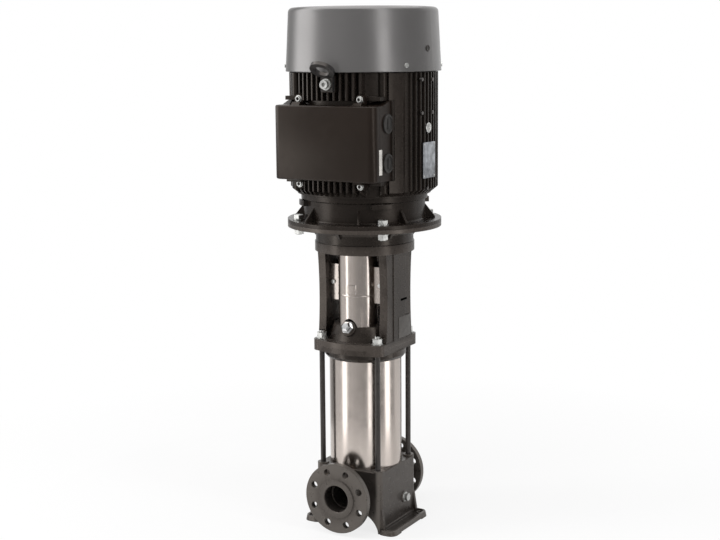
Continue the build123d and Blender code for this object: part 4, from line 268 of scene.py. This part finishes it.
def core_steel():
    look = Look("stacked_core_sheets", (0.2, 0.2, 0.21), 0.8, 0.45)
    sheets = look.noise(900.0, 1.0, stretch=(0.001, 0.001, 1.0))
    look.tint(sheets, 0.7, 1.3)
    look.rough(look.noise(50.0), 0.4, 0.55)
    look.bump(sheets, 0.3, 0.0004)
    return look.material


def machined_iron():
    look = Look("machined_iron", (0.17, 0.17, 0.17), 0.7, 0.4)
    look.tint(look.noise(60.0), 0.75, 1.25)
    look.rough(look.noise(90.0), 0.34, 0.5)
    look.bump(look.noise(600.0, 2.0, stretch=(0.1, 0.1, 1.0)), 0.15, 0.0004)
    return look.material


def chrome():
    look = Look("bright_chrome", (0.8, 0.8, 0.8), 1.0, 0.1)
    look.tint(look.noise(50.0), 0.92, 1.05)
    look.rough(look.noise(120.0), 0.07, 0.16)
    look.bump(look.noise(200.0, 2.0), 0.03, 0.0003)
    return look.material


def dull(name, color, roughness, grain=600.0):
    look = Look(name, color, 0.0, roughness)
    look.round_edges(0.001)
    look.tint(look.noise(35.0), 0.75, 1.3)
    look.rough(look.noise(80.0), roughness - 0.08, roughness + 0.1)
    look.bump(look.noise(grain, 2.0), 0.2, 0.0005)
    return look.material


def wound_copper():
    look = Look("varnished_windings", (0.42, 0.17, 0.07), 0.4, 0.38)
    strands = look.noise(500.0, 2.0, stretch=(0.15, 0.15, 1.0))
    look.tint(strands, 0.6, 1.3)
    look.rough(strands, 0.3, 0.5)
    look.bump(strands, 0.4, 0.001)
    return look.material


slot_looks = {
    "base_cast_iron": casting_paint(),
    "black_paint": gloss_paint(),
    "grey_paint": cover_paint(),
    "polished_steel": polished_steel(),
    "stage_steel": stage_steel(),
    "zinc_steel": zinc_steel(),
    "black_steel": black_steel(),
    "shaft_steel": ground_steel(),
    "core_steel": core_steel(),
    "coupling_iron": machined_iron(),
    "bright_chrome": chrome(),
    "seal_rubber": dull("seal_rubber", (0.02, 0.02, 0.02), 0.6),
    "bush_ceramic": dull("bush_ceramic", (0.11, 0.11, 0.12), 0.35, 900.0),
    "winding_copper": wound_copper(),
    "fan_plastic": dull("fan_plastic", (0.03, 0.03, 0.03), 0.5),
    "plug_plastic": dull("plug_plastic", (0.018, 0.018, 0.018), 0.4),
    "board_plastic": dull("board_plastic", (0.2, 0.09, 0.05), 0.45),
    "stud_brass": polished_steel("stud_brass", (0.7, 0.5, 0.25), 0.3),
}


def brushed_plate():
    look = Look("brushed_blank_plate", (0.5, 0.52, 0.55), 1.0, 0.35)
    look.round_edges(0.0006)
    strokes = look.noise(500.0, 2.0, stretch=(1.0, 0.03, 1.0))
    look.tint(look.noise(55.0, 3.0), 0.4, 1.1)
    look.rough(strokes, 0.28, 0.45)
    look.bump(strokes, 0.06, 0.0002)
    return look.material


plate_metal = brushed_plate()
clip_steel = polished_steel("dark_clip_steel", (0.16, 0.15, 0.145), 0.3)
dark_plate = dull("dark_blank_plate", (0.062, 0.059, 0.056), 0.42, 300.0)
# Painted shade: flat black with no gloss, standing in for the shade inside a slot
slot_painted_shade = dull("slot_painted_shade", (0.0015, 0.0015, 0.0015), 0.9)
slot_painted_shade.node_tree.nodes["Principled BSDF"].inputs["Specular IOR Level"].default_value = 0.0
pale_film = dull("pale_blank_film", (0.55, 0.53, 0.5), 0.5, 900.0)

# Nodes with a finish of their own within their slot
node_looks = {
    "terminal_box_base": box_paint(),
    "motor_housing": gloss_paint("black_motor_paint", gloss=0.27, edge_lightening=0.06),
}
node_looks["drive_end_shield"] = node_looks["motor_housing"]
node_looks["terminal_box_cover"] = node_looks["terminal_box_base"]


def dress_nodes():
    for part in frame["record"]["subparts"]:
        node = nodes[part["node"]]
        node.data.materials.clear()
        look = node_looks.get(part["node"], slot_looks[part["material_slot"]])
        node.data.materials.append(look)


# Pieces that the CAD model leaves to the scene. Outlines are in millimetres: u to the right and v up as
# the piece is looked at, and w outwards.
FACING = {
    "front": lambda u, v, w: Vector((u, -w, v)) * MM,
    "back": lambda u, v, w: Vector((-u, w, v)) * MM,
    "side": lambda u, v, w: Vector((w, u, v)) * MM,
    "up": lambda u, v, w: Vector((u, v, w)) * MM,
}
CORNER_STEPS = 5
EDGE_CUT = 0.3
WELD = 1e-7
SHARP_ANGLE = 32


def rounded(u, v, width, height, radius):
    """Outline of a rectangle with round corners about u, v."""
    points = []
    for k, (su, sv) in enumerate(((1, 1), (-1, 1), (-1, -1), (1, -1))):
        for i in range(CORNER_STEPS + 1):
            angle = radians(90 * k + 90 * i / CORNER_STEPS)
            points.append((u + su * (width / 2 - radius) + radius * cos(angle),
                           v + sv * (height / 2 - radius) + radius * sin(angle)))
    return points


def ring_of(u, v, radius, count):
    angles = [2 * pi * i / count for i in range(count)]
    return [(u + radius * cos(a), v + radius * sin(a)) for a in angles]


def loft(bm, facing, loops):
    """Skin between outlines of as many points each, closed by a cap at both ends."""
    rows = [[bm.verts.new(FACING[facing](u, v, w)) for u, v in outline] for outline, w in loops]
    for low, high in zip(rows, rows[1:]):
        for i in range(len(low)):
            j = (i + 1) % len(low)
            bm.faces.new((low[i], low[j], high[j], high[i]))
    bm.faces.new(rows[0])
    bm.faces.new(rows[-1])


def turned(bm, facing, middle, base, profile, count=32):
    """Turned or hexagonal form from a profile of radius and height above the base."""
    loft(bm, facing, [(ring_of(*middle, r, count), base + height) for r, height in profile])


def plate_on(bm, facing, middle, size, corner, base, thick, edge):
    """Plate with round corners and a rounded outer edge, from the base outwards."""
    def outline(inset):
        return rounded(*middle, size[0] - 2 * inset, size[1] - 2 * inset, corner - inset / 2)
    end = base + thick
    loft(bm, facing, [
        (outline(0.0), base),
        (outline(0.0), end - edge),
        (outline(edge * EDGE_CUT), end - edge * EDGE_CUT),
        (outline(edge), end),
    ])


def make_piece(name, bm, look, replaced=()):
    bmesh.ops.remove_doubles(bm, verts=bm.verts, dist=WELD)
    bmesh.ops.recalc_face_normals(bm, faces=bm.faces)
    mesh = bpy.data.meshes.new(name)
    bm.to_mesh(mesh)
    bm.free()
    mesh.materials.append(look)
    mesh.shade_smooth()
    mesh.set_sharp_from_angle(angle=radians(SHARP_ANGLE))
    obj = bpy.data.objects.new(name, mesh)
    bpy.context.scene.collection.objects.link(obj)
    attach(obj, "pump_frame")
    if replaced:
        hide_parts(*replaced)


def make_plate(name, look, middle, size, corner, base, thick, edge):
    """Single plate that looks to the +X side."""
    bm = bmesh.new()
    plate_on(bm, "side", middle, size, corner, base, thick, edge)
    make_piece(name, bm, look)


def box_mm(name):
    return [[value / MM for value in corner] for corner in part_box(name)]


# Terminal box cover: thin shell with round corners and four ears that reach back to the housing
COVER_CORNER_R = 18.5
COVER_CORNER_STEPS = 8
COVER_RIM_R = 4.0
COVER_RIM_SHARES = (0.0, 0.3, 0.6, 1.0)
COVER_WALL = 4.0
EAR_R = 12.0
EAR_STEP = 15
EAR_SINK = 1.0
EAR_BACK = 158.0
EAR_FRONT = 172.0
EAR_BAR_RISE = 7.5
EAR_BAR_LAP = 2.0
EAR_BAR_SLOPE = 6.0
EAR_BAR_FRONT = 190.0
BOX_SCREW_R = 7.0
# radius, and height above the ear
BOX_SCREW_HEAD = (
    (9.0, 0.0), (9.0, 1.3), (7.0, 1.5), (7.0, 5.2), (6.4, 6.0), (4.4, 6.0), (4.0, 5.5), (4.0, 2.5),
)
# Black fill in each hex recess, as painted shade: radius, and height above the ear
BOX_SCREW_SOCKET = ((4.0, 2.4), (4.0, 4.6), (3.4, 4.6), (3.4, 2.8))


def find_box_screws():
    """Middles of the terminal box's screws."""
    low, high = box_mm("terminal_box_screws")
    x = high[0] - BOX_SCREW_R
    levels = (high[2] - BOX_SCREW_R, low[2] + BOX_SCREW_R)
    return [(side * x, z) for side in (1, -1) for z in levels]


def cover_outline(inset, half_x, front, seam):
    """Half-closed outline in plan, from the seam round both front corners to the seam."""
    radius = COVER_CORNER_R - inset
    middle_x = half_x - COVER_CORNER_R
    middle_y = front - COVER_CORNER_R
    points = [(half_x - inset, seam)]
    for k, side in ((0, 1), (1, -1)):
        for i in range(COVER_CORNER_STEPS + 1):
            angle = radians(90 * k + 90 * i / COVER_CORNER_STEPS)
            points.append((side * middle_x + radius * cos(angle), middle_y + radius * sin(angle)))
    points.append((-half_x + inset, seam))
    return points


def cover_walls(bm, loops):
    """Skin through half-closed outlines, with a roof and a floor. Returns the rim at the seam."""
    rows = [[bm.verts.new(Vector((x, -y, z)) * MM) for x, y in outline] for outline, z in loops]
    for low, high in zip(rows, rows[1:]):
        for i in range(len(low) - 1):
            bm.faces.new((low[i], low[i + 1], high[i + 1], high[i]))
    bm.faces.new(rows[0])
    bm.faces.new(rows[-1])
    return [row[0] for row in rows] + [row[-1] for row in reversed(rows)]


def cover_ear(bm, x, z, bottom, top):
    """Ear under a screw, and the bar from it along the cover's wall."""
    up = 1 if z > (bottom + top) / 2 else -1
    wall = top if up > 0 else bottom
    tab = [(x + EAR_R, wall - up * EAR_SINK), (x + EAR_R, z)]
    for a in range(EAR_STEP, 180, EAR_STEP):
        tab.append((x + EAR_R * cos(radians(a)), z + up * EAR_R * sin(radians(a))))
    tab += [(x - EAR_R, z), (x - EAR_R, wall - up * EAR_SINK)]
    loft(bm, "front", [(tab, EAR_BACK), (tab, EAR_FRONT)])
    base = wall - up * COVER_WALL / 2
    full, low = [
        [(x - EAR_R, base), (x + EAR_R, base), (x + EAR_R, end), (x - EAR_R, end)]
        for end in (wall + up * EAR_BAR_RISE, wall)
    ]
    loft(bm, "front", [
        (full, EAR_FRONT - EAR_BAR_LAP),
        (full, EAR_BAR_FRONT - EAR_BAR_SLOPE),
        (low, EAR_BAR_FRONT),
    ])


def make_box_cover(screw_places):
    gasket = box_mm("terminal_box_gasket")
    half_x = gasket[1][0]
    bottom, top = gasket[0][2], gasket[1][2]
    seam = -gasket[0][1]
    front = -box_mm("terminal_box_cover")[0][1]
    rim = [
        (COVER_RIM_R * (1 - sin(pi / 2 * t)), COVER_RIM_R * (1 - cos(pi / 2 * t)))
        for t in COVER_RIM_SHARES
    ]
    levels = [(inset, bottom + rise) for inset, rise in rim]
    levels += [(inset, top - rise) for inset, rise in reversed(rim)]
    outer = [(cover_outline(inset, half_x, front, seam), z) for inset, z in levels]
    inner = [
        (cover_outline(COVER_WALL, half_x, front, seam), z)
        for z in (top - COVER_WALL, bottom + COVER_WALL)
    ]
    bm = bmesh.new()
    edges = []
    for ring in [cover_walls(bm, loops) for loops in (outer, inner)]:
        for a, b in zip(ring, ring[1:] + ring[:1]):
            edges.append(bm.edges.get((a, b)) or bm.edges.new((a, b)))
    bmesh.ops.bridge_loops(bm, edges=edges)
    for x, z in screw_places:
        cover_ear(bm, x, z, bottom, top)
    make_piece("box_cover_shell", bm, node_looks["terminal_box_cover"],
               ("terminal_box_cover",))


def make_box_screws(screw_places):
    heads, sockets = bmesh.new(), bmesh.new()
    for place in screw_places:
        turned(heads, "front", place, EAR_FRONT, BOX_SCREW_HEAD)
        turned(sockets, "front", place, EAR_FRONT, BOX_SCREW_SOCKET, count=6)
    make_piece("box_screw_heads", heads, slot_looks["zinc_steel"],
               ("terminal_box_screws",))
    # Black sockets: painted shade in the hex recesses of the zinc screws
    make_piece("box_screw_sockets_painted_shade", sockets, slot_looks["black_steel"])


# Cast seat strips beside the terminal box, level with the corner pads of the housing
SEAT_INNER = 141.0
SEAT_OUTER = 149.6
SEAT_BACK = 104.0
SEAT_FRONT = 119.0
SEAT_CORNER = 1.5
SEAT_EDGE = 1.2


def make_seat_strips():
    low, high = box_mm("terminal_box_base")
    size = (SEAT_OUTER - SEAT_INNER, high[2] - low[2])
    bm = bmesh.new()
    for side in (1, -1):
        middle = (side * (SEAT_INNER + SEAT_OUTER) / 2, (low[2] + high[2]) / 2)
        plate_on(bm, "front", middle, size, SEAT_CORNER, SEAT_BACK, SEAT_FRONT - SEAT_BACK, SEAT_EDGE)
    make_piece("terminal_box_seats", bm, node_looks["motor_housing"])


# Plates and small parts on the +X side of the motor. Profiles give a radius and a height above the
# tips of the fins or the side of the fan cover.
FIN_TIP = 191.0
COVER_SIDE = 195.3
PLATE_MIDDLE = (-5.0, 977.0)
PLATE_SIZE = (64.0, 90.0)
PLATE_CORNER = 3.0
PLATE_SINK = 0.3
PLATE_T = 1.3
PLATE_EDGE = 0.3
RIVET_INSET = 5.0
RIVET = ((2.6, 0.5), (2.6, 1.4), (1.6, 2.2))
CLIP_PLACES = ((-41.0, 1178.0), (15.0, 1177.0), (-41.0, 1095.5), (15.0, 1095.5), (-12.0, 906.0))
CLIP = ((4.6, -6.0), (4.6, 0.8), (3.2, 1.8))
HOUSING_PLUG_PLACE = (-8.0, 1058.0)
HOUSING_PLUG = ((13.0, -8.0), (13.0, 1.0), (11.5, 2.5), (8.0, 3.0), (7.0, 1.6), (4.5, 2.0), (3.0, 3.4))
COVER_PLUG_PLACE = (-20.5, 1254.0)
COVER_PLUG = ((8.5, -8.0), (8.5, 0.9), (7.5, 1.7), (6.0, 1.5), (5.2, 0.4), (2.6, 0.4))
STRIP_MIDDLE = (-172.0, 981.0)
STRIP_SIZE = (15.0, 62.0)
STRIP_CORNER = 1.0
STRIP_T = 0.4
STRIP_EDGE = 0.1


def make_turned(name, look, places, base, profile, count):
    """Piece of equal turned forms that look to the +X side."""
    bm = bmesh.new()
    for place in places:
        turned(bm, "side", place, base, profile, count)
    make_piece(name, bm, look)


def make_motor_plates():
    make_plate("rating_plate", plate_metal, PLATE_MIDDLE, PLATE_SIZE, PLATE_CORNER,
               FIN_TIP - PLATE_SINK, PLATE_T, PLATE_EDGE)
    rivets = [
        (PLATE_MIDDLE[0] + su * (PLATE_SIZE[0] / 2 - RIVET_INSET),
         PLATE_MIDDLE[1] + sv * (PLATE_SIZE[1] / 2 - RIVET_INSET))
        for su in (1, -1) for sv in (1, -1)
    ]
    zinc = slot_looks["zinc_steel"]
    make_turned("plate_rivets", zinc, rivets, FIN_TIP, RIVET, 16)
    make_turned("housing_clips", clip_steel, CLIP_PLACES, FIN_TIP, CLIP, 20)
    make_turned("housing_side_plug", zinc, (HOUSING_PLUG_PLACE,), FIN_TIP, HOUSING_PLUG, 40)
    make_turned("cover_side_plug", slot_looks["plug_plastic"], (COVER_PLUG_PLACE,),
                COVER_SIDE, COVER_PLUG, 32)
    box_side = box_mm("terminal_box_gasket")[1][0]
    make_plate("blank_strip", pale_film, STRIP_MIDDLE, STRIP_SIZE, STRIP_CORNER,
               box_side, STRIP_T, STRIP_EDGE)


# Coupling guards: pressed bead round the sheet and a raised square
GUARD_SHEET_R = 55.0
GUARD_SPREAD = 72
GUARD_STEP = 3
GUARD_SINK = 0.2
GUARD_BEAD_Z = 624.0
GUARD_BEAD_HALF = 2.2
GUARD_BEAD_RISE = 1.1
GUARD_BEAD_SHARES = (-1, -0.7, -0.4, 0, 0.4, 0.7, 1)
# u, z, width, height
GUARD_PATCH = (7.5, 641.5, 27.0, 24.0)
GUARD_PATCH_RISE = 1.0
GUARD_PATCH_EDGE = 1.2
GUARD_PATCH_COLUMNS = 8


def guard_skin(bm, facing, centre, columns, rows):
    """Skin over the guard's sheet. Columns: angle and share of the rise. Rows: z and rise."""
    grid = []
    for angle, share in columns:
        line = []
        for z, rise in rows:
            reach = GUARD_SHEET_R + (rise * share - GUARD_SINK)
            u, w = reach * sin(radians(angle)), centre + reach * cos(radians(angle))
            line.append(bm.verts.new(FACING[facing](u, z, w)))
        grid.append(line)
    for a, b in zip(grid, grid[1:]):
        for i in range(len(a) - 1):
            bm.faces.new((a[i], b[i], b[i + 1], a[i + 1]))


def guard_bead(bm, facing, centre):
    columns = [(angle, 1.0) for angle in range(-GUARD_SPREAD, GUARD_SPREAD + 1, GUARD_STEP)]
    rows = [
        (GUARD_BEAD_Z + GUARD_BEAD_HALF * t, (GUARD_BEAD_RISE + GUARD_SINK) * cos(pi / 2 * t))
        for t in GUARD_BEAD_SHARES
    ]
    guard_skin(bm, facing, centre, columns, rows)


def guard_patch(bm, facing, centre):
    u, z, width, height = GUARD_PATCH
    edge, rise = GUARD_PATCH_EDGE, GUARD_PATCH_RISE
    low, high = [atan2(u + side * width / 2, GUARD_SHEET_R) / radians(1) for side in (-1, 1)]
    inner = high - low - 2 * edge
    columns = [(low, 0.0)]
    for i in range(GUARD_PATCH_COLUMNS + 1):
        columns.append((low + edge + inner * i / GUARD_PATCH_COLUMNS, 1.0))
    columns.append((high, 0.0))
    bottom, top = z - height / 2, z + height / 2
    rows = [(bottom, 0.0), (bottom + edge, rise), (z, rise), (top - edge, rise), (top, 0.0)]
    guard_skin(bm, facing, centre, columns, rows)


def make_guard_details():
    for facing, node in (("front", "coupling_guard_front"), ("back", "coupling_guard_rear")):
        centre = min(abs(corner[1]) for corner in box_mm(node))
        bm = bmesh.new()
        guard_bead(bm, facing, centre)
        guard_patch(bm, facing, centre)
        make_piece(f"pressed_marks_{facing}", bm, slot_looks["polished_steel"])


# Blank plate on the outer face of the +X column of the stool, and a flat black sheet of painted shade
# where a slot is
COLUMN_FACE = 103.94
COLUMN_PLATE_MIDDLE = (26.0, 536.0)
COLUMN_PLATE_SIZE = (66.0, 56.0)
COLUMN_PLATE_CORNER = 2.5
COLUMN_PLATE_T = 0.9
COLUMN_PLATE_EDGE = 0.3
COLUMN_SLOT_MIDDLE = (22.0, 608.5)
COLUMN_SLOT_SIZE = (34.0, 6.0)
COLUMN_SLOT_CORNER = 3.0
COLUMN_SLOT_T = 0.2
COLUMN_SLOT_EDGE = 0.1


def make_column_details():
    make_plate("column_plate", dark_plate, COLUMN_PLATE_MIDDLE, COLUMN_PLATE_SIZE,
               COLUMN_PLATE_CORNER, COLUMN_FACE, COLUMN_PLATE_T, COLUMN_PLATE_EDGE)
    # Painted shade: a thin black sheet where the slot's shade falls
    make_plate("column_slot_painted_shade", slot_painted_shade, COLUMN_SLOT_MIDDLE, COLUMN_SLOT_SIZE,
               COLUMN_SLOT_CORNER, COLUMN_FACE, COLUMN_SLOT_T, COLUMN_SLOT_EDGE)


# Threads of the staybolts above their nuts
THREAD_R = 7.0
THREAD_DEPTH = 0.5
THREAD_SINK = 0.6
THREAD_START = 0.4
THREAD_ROOT = 0.1
THREAD_PITCH = 1.5
THREAD_LOW = 521.0
THREAD_TURNS = 4


def make_threads():
    half = box_mm("staybolts")[1][0] - THREAD_R
    root = THREAD_R + THREAD_ROOT
    profile = [(THREAD_R - THREAD_SINK, -THREAD_START)]
    for k in range(THREAD_TURNS):
        rise = k * THREAD_PITCH
        profile.append((root, rise))
        profile.append((root + THREAD_DEPTH, rise + THREAD_PITCH / 2))
        profile.append((root, rise + THREAD_PITCH))
    bm = bmesh.new()
    for sx in (1, -1):
        for sy in (1, -1):
            turned(bm, "up", (sx * half, sy * half), THREAD_LOW, profile, 28)
    make_piece("staybolt_threads", bm, slot_looks["zinc_steel"])


# Studio: pale floor, white surroundings, soft lamps, and a grey screen that only gloss can see
FLOOR_SIZE = 60.0
GLOW_NEAR = 0.8
GLOW_START = 0.45
GLOW_END = 1.6
WORLD_LEVEL = 0.5
SOFT_LAMPS = (
    # place, aim, size, watts
    ((-2.3, -1.9, 1.7), (0, 0, 0.8), (0.8, 2.4), 62),
    ((2.9, -0.4, 1.6), (0, 0, 0.7), (0.5, 2.4), 34),
    ((0.2, -1.6, 3.6), (0, 0, 0.6), (1.8, 1.8), 40),
)
SCREEN_R = 0.95
SCREEN_TOP = 2.1
SCREEN_ROWS = 42
SCREEN_STEP = 1.5
LID_SIDES = 24
LID_LEVEL = 2.5
# bearing from -Y towards +X in degrees, and the level there
SCREEN_LEVELS = (
    (-132, 0.9), (-118, 0.55), (-104, 0.3), (-95, 0.25), (-86, 0.6), (-66, 0.75), (-48, 0.6),
    (-30, 0.55), (-8, 0.55), (12, 0.42), (30, 0.34), (50, 0.32), (70, 0.3), (90, 0.28),
    (110, 0.3), (126, 0.45), (138, 0.9),
)
# bright strips: level, and (height, bearing, half width) stations
SCREEN_STRIPS = (
    (3.2, ((0.0, -38, 6), (0.25, -37, 6), (0.35, -39, 4), (0.64, -39, 4), (0.9, -44, 12),
           (1.1, -60, 16), (2.1, -62, 17))),
    (2.6, ((0.0, 42, 4), (0.3, 42, 4))),
    (2.8, ((0.0, 101, 7), (0.32, 100, 7))),
    (3.0, ((0.33, 79, 5), (0.65, 78, 5), (1.0, 62, 6), (1.3, 57, 6), (2.1, 52, 6))),
)


def between(stations, value):
    """The row of numbers at a value, between the stations on either side of it."""
    for low, high in zip(stations, stations[1:]):
        if low[0] <= value <= high[0]:
            share = (value - low[0]) / (high[0] - low[0])
            return [a + (b - a) * share for a, b in zip(low[1:], high[1:])]
    return None


def screen_level(bearing, z):
    """Level of the screen there. A strip fades out over half its half width beyond its edges."""
    level = between(SCREEN_LEVELS, bearing)[0]
    for bright, stations in SCREEN_STRIPS:
        place = between(stations, z)
        if place:
            away = abs(bearing - place[0]) / place[1]
            level = max(level, bright * min(1.0, 3.0 - 2.0 * away))
    return level


def screen_material():
    material = bpy.data.materials.new("screen")
    material.use_nodes = True
    tree = material.node_tree
    tree.nodes.clear()
    level = tree.nodes.new("ShaderNodeAttribute")
    level.attribute_name = "level"
    glow = tree.nodes.new("ShaderNodeEmission")
    output = tree.nodes.new("ShaderNodeOutputMaterial")
    tree.links.new(level.outputs["Fac"], glow.inputs["Strength"])
    tree.links.new(glow.outputs["Emission"], output.inputs["Surface"])
    material.cycles.emission_sampling = "NONE"
    return material


def make_screen():
    verts, faces, levels = [], [], []
    first, last = SCREEN_LEVELS[0][0], SCREEN_LEVELS[-1][0]
    columns = int((last - first) / SCREEN_STEP)
    for i in range(columns + 1):
        bearing = first + SCREEN_STEP * i
        for j in range(SCREEN_ROWS + 1):
            z = SCREEN_TOP * j / SCREEN_ROWS
            verts.append((SCREEN_R * sin(radians(bearing)), -SCREEN_R * cos(radians(bearing)), z))
            levels.append(screen_level(bearing, z))
    rows = SCREEN_ROWS + 1
    for i in range(columns):
        for j in range(SCREEN_ROWS):
            a = i * rows + j
            faces.append((a, a + rows, a + rows + 1, a + 1))
    # The lid lights the upper edges
    lid = len(verts)
    for x, y in ring_of(0.0, 0.0, SCREEN_R, LID_SIDES):
        verts.append((x, y, SCREEN_TOP))
        levels.append(LID_LEVEL)
    faces.append(tuple(range(lid, lid + LID_SIDES)))
    mesh = bpy.data.meshes.new("screen")
    mesh.from_pydata(verts, [], faces)
    mesh.attributes.new("level", "FLOAT", "POINT").data.foreach_set("value", levels)
    mesh.materials.append(screen_material())
    screen = bpy.data.objects.new("screen", mesh)
    screen.visible_camera = False
    screen.visible_diffuse = False
    screen.visible_shadow = False
    screen.visible_transmission = False
    bpy.context.scene.collection.objects.link(screen)


def make_floor():
    """Floor that keeps the shadow near the object and fades to white with the distance."""
    look = Look("pale_floor", (0.86, 0.86, 0.86), 0.0, 0.6)
    look.tint(look.noise(3.0), 0.99, 1.01)
    path = look.nodes.new("ShaderNodeLightPath")
    glow = look.nodes.new("ShaderNodeEmission")
    glow.inputs["Color"].default_value = (1, 1, 1, 1)
    mix = look.nodes.new("ShaderNodeMixShader")
    reach = look.nodes.new("ShaderNodeVectorMath")
    reach.operation = "LENGTH"
    look.link(look.place, reach.inputs[0])
    weight = look.nodes.new("ShaderNodeMath")
    weight.operation = "MULTIPLY"
    glow_share = look.spread(reach.outputs["Value"], GLOW_NEAR, 1.0, GLOW_START, GLOW_END)
    look.link(path.outputs["Is Camera Ray"], weight.inputs[0])
    look.link(glow_share, weight.inputs[1])
    look.link(weight.outputs[0], mix.inputs["Fac"])
    look.link(look.shader.outputs["BSDF"], mix.inputs[1])
    look.link(glow.outputs["Emission"], mix.inputs[2])
    look.link(mix.outputs["Shader"], look.nodes["Material Output"].inputs["Surface"])
    mesh = bpy.data.meshes.new("floor")
    h = FLOOR_SIZE / 2
    mesh.from_pydata([(-h, -h, 0), (h, -h, 0), (h, h, 0), (-h, h, 0)], [], [(0, 1, 2, 3)])
    mesh.materials.append(look.material)
    floor = bpy.data.objects.new("floor", mesh)
    bpy.context.scene.collection.objects.link(floor)


def make_world():
    """White where the camera, gloss or glass looks, and WORLD_LEVEL as light."""
    world = bpy.data.worlds.new("studio")
    bpy.context.scene.world = world
    world.use_nodes = True
    tree = world.node_tree
    background = tree.nodes["Background"]
    background.inputs["Color"].default_value = (1, 1, 1, 1)
    path = tree.nodes.new("ShaderNodeLightPath")
    seen = path.outputs["Is Camera Ray"]
    for kind in ("Is Glossy Ray", "Is Transmission Ray"):
        either = tree.nodes.new("ShaderNodeMath")
        either.operation = "MAXIMUM"
        tree.links.new(seen, either.inputs[0])
        tree.links.new(path.outputs[kind], either.inputs[1])
        seen = either.outputs[0]
    span = tree.nodes.new("ShaderNodeMapRange")
    span.inputs["To Min"].default_value = WORLD_LEVEL
    span.inputs["To Max"].default_value = 1.0
    tree.links.new(seen, span.inputs["Value"])
    tree.links.new(span.outputs["Result"], background.inputs["Strength"])


def make_lamps():
    for k, (place, target, size, watts) in enumerate(SOFT_LAMPS):
        data = bpy.data.lights.new(f"soft_lamp_{k}", "AREA")
        data.shape = "RECTANGLE"
        data.size, data.size_y = size
        data.energy = watts
        lamp = bpy.data.objects.new(f"soft_lamp_{k}", data)
        lamp.location = place
        lamp.rotation_euler = (Vector(target) - lamp.location).to_track_quat("-Z", "Y").to_euler()
        lamp.visible_glossy = False
        bpy.context.scene.collection.objects.link(lamp)


bpy.context.scene.view_settings.view_transform = "Standard"
make_camera()
dress_nodes()
box_screws = find_box_screws()
make_box_cover(box_screws)
make_box_screws(box_screws)
make_seat_strips()
make_motor_plates()
make_guard_details()
make_column_details()
make_threads()
make_floor()
make_world()
make_lamps()
make_screen()
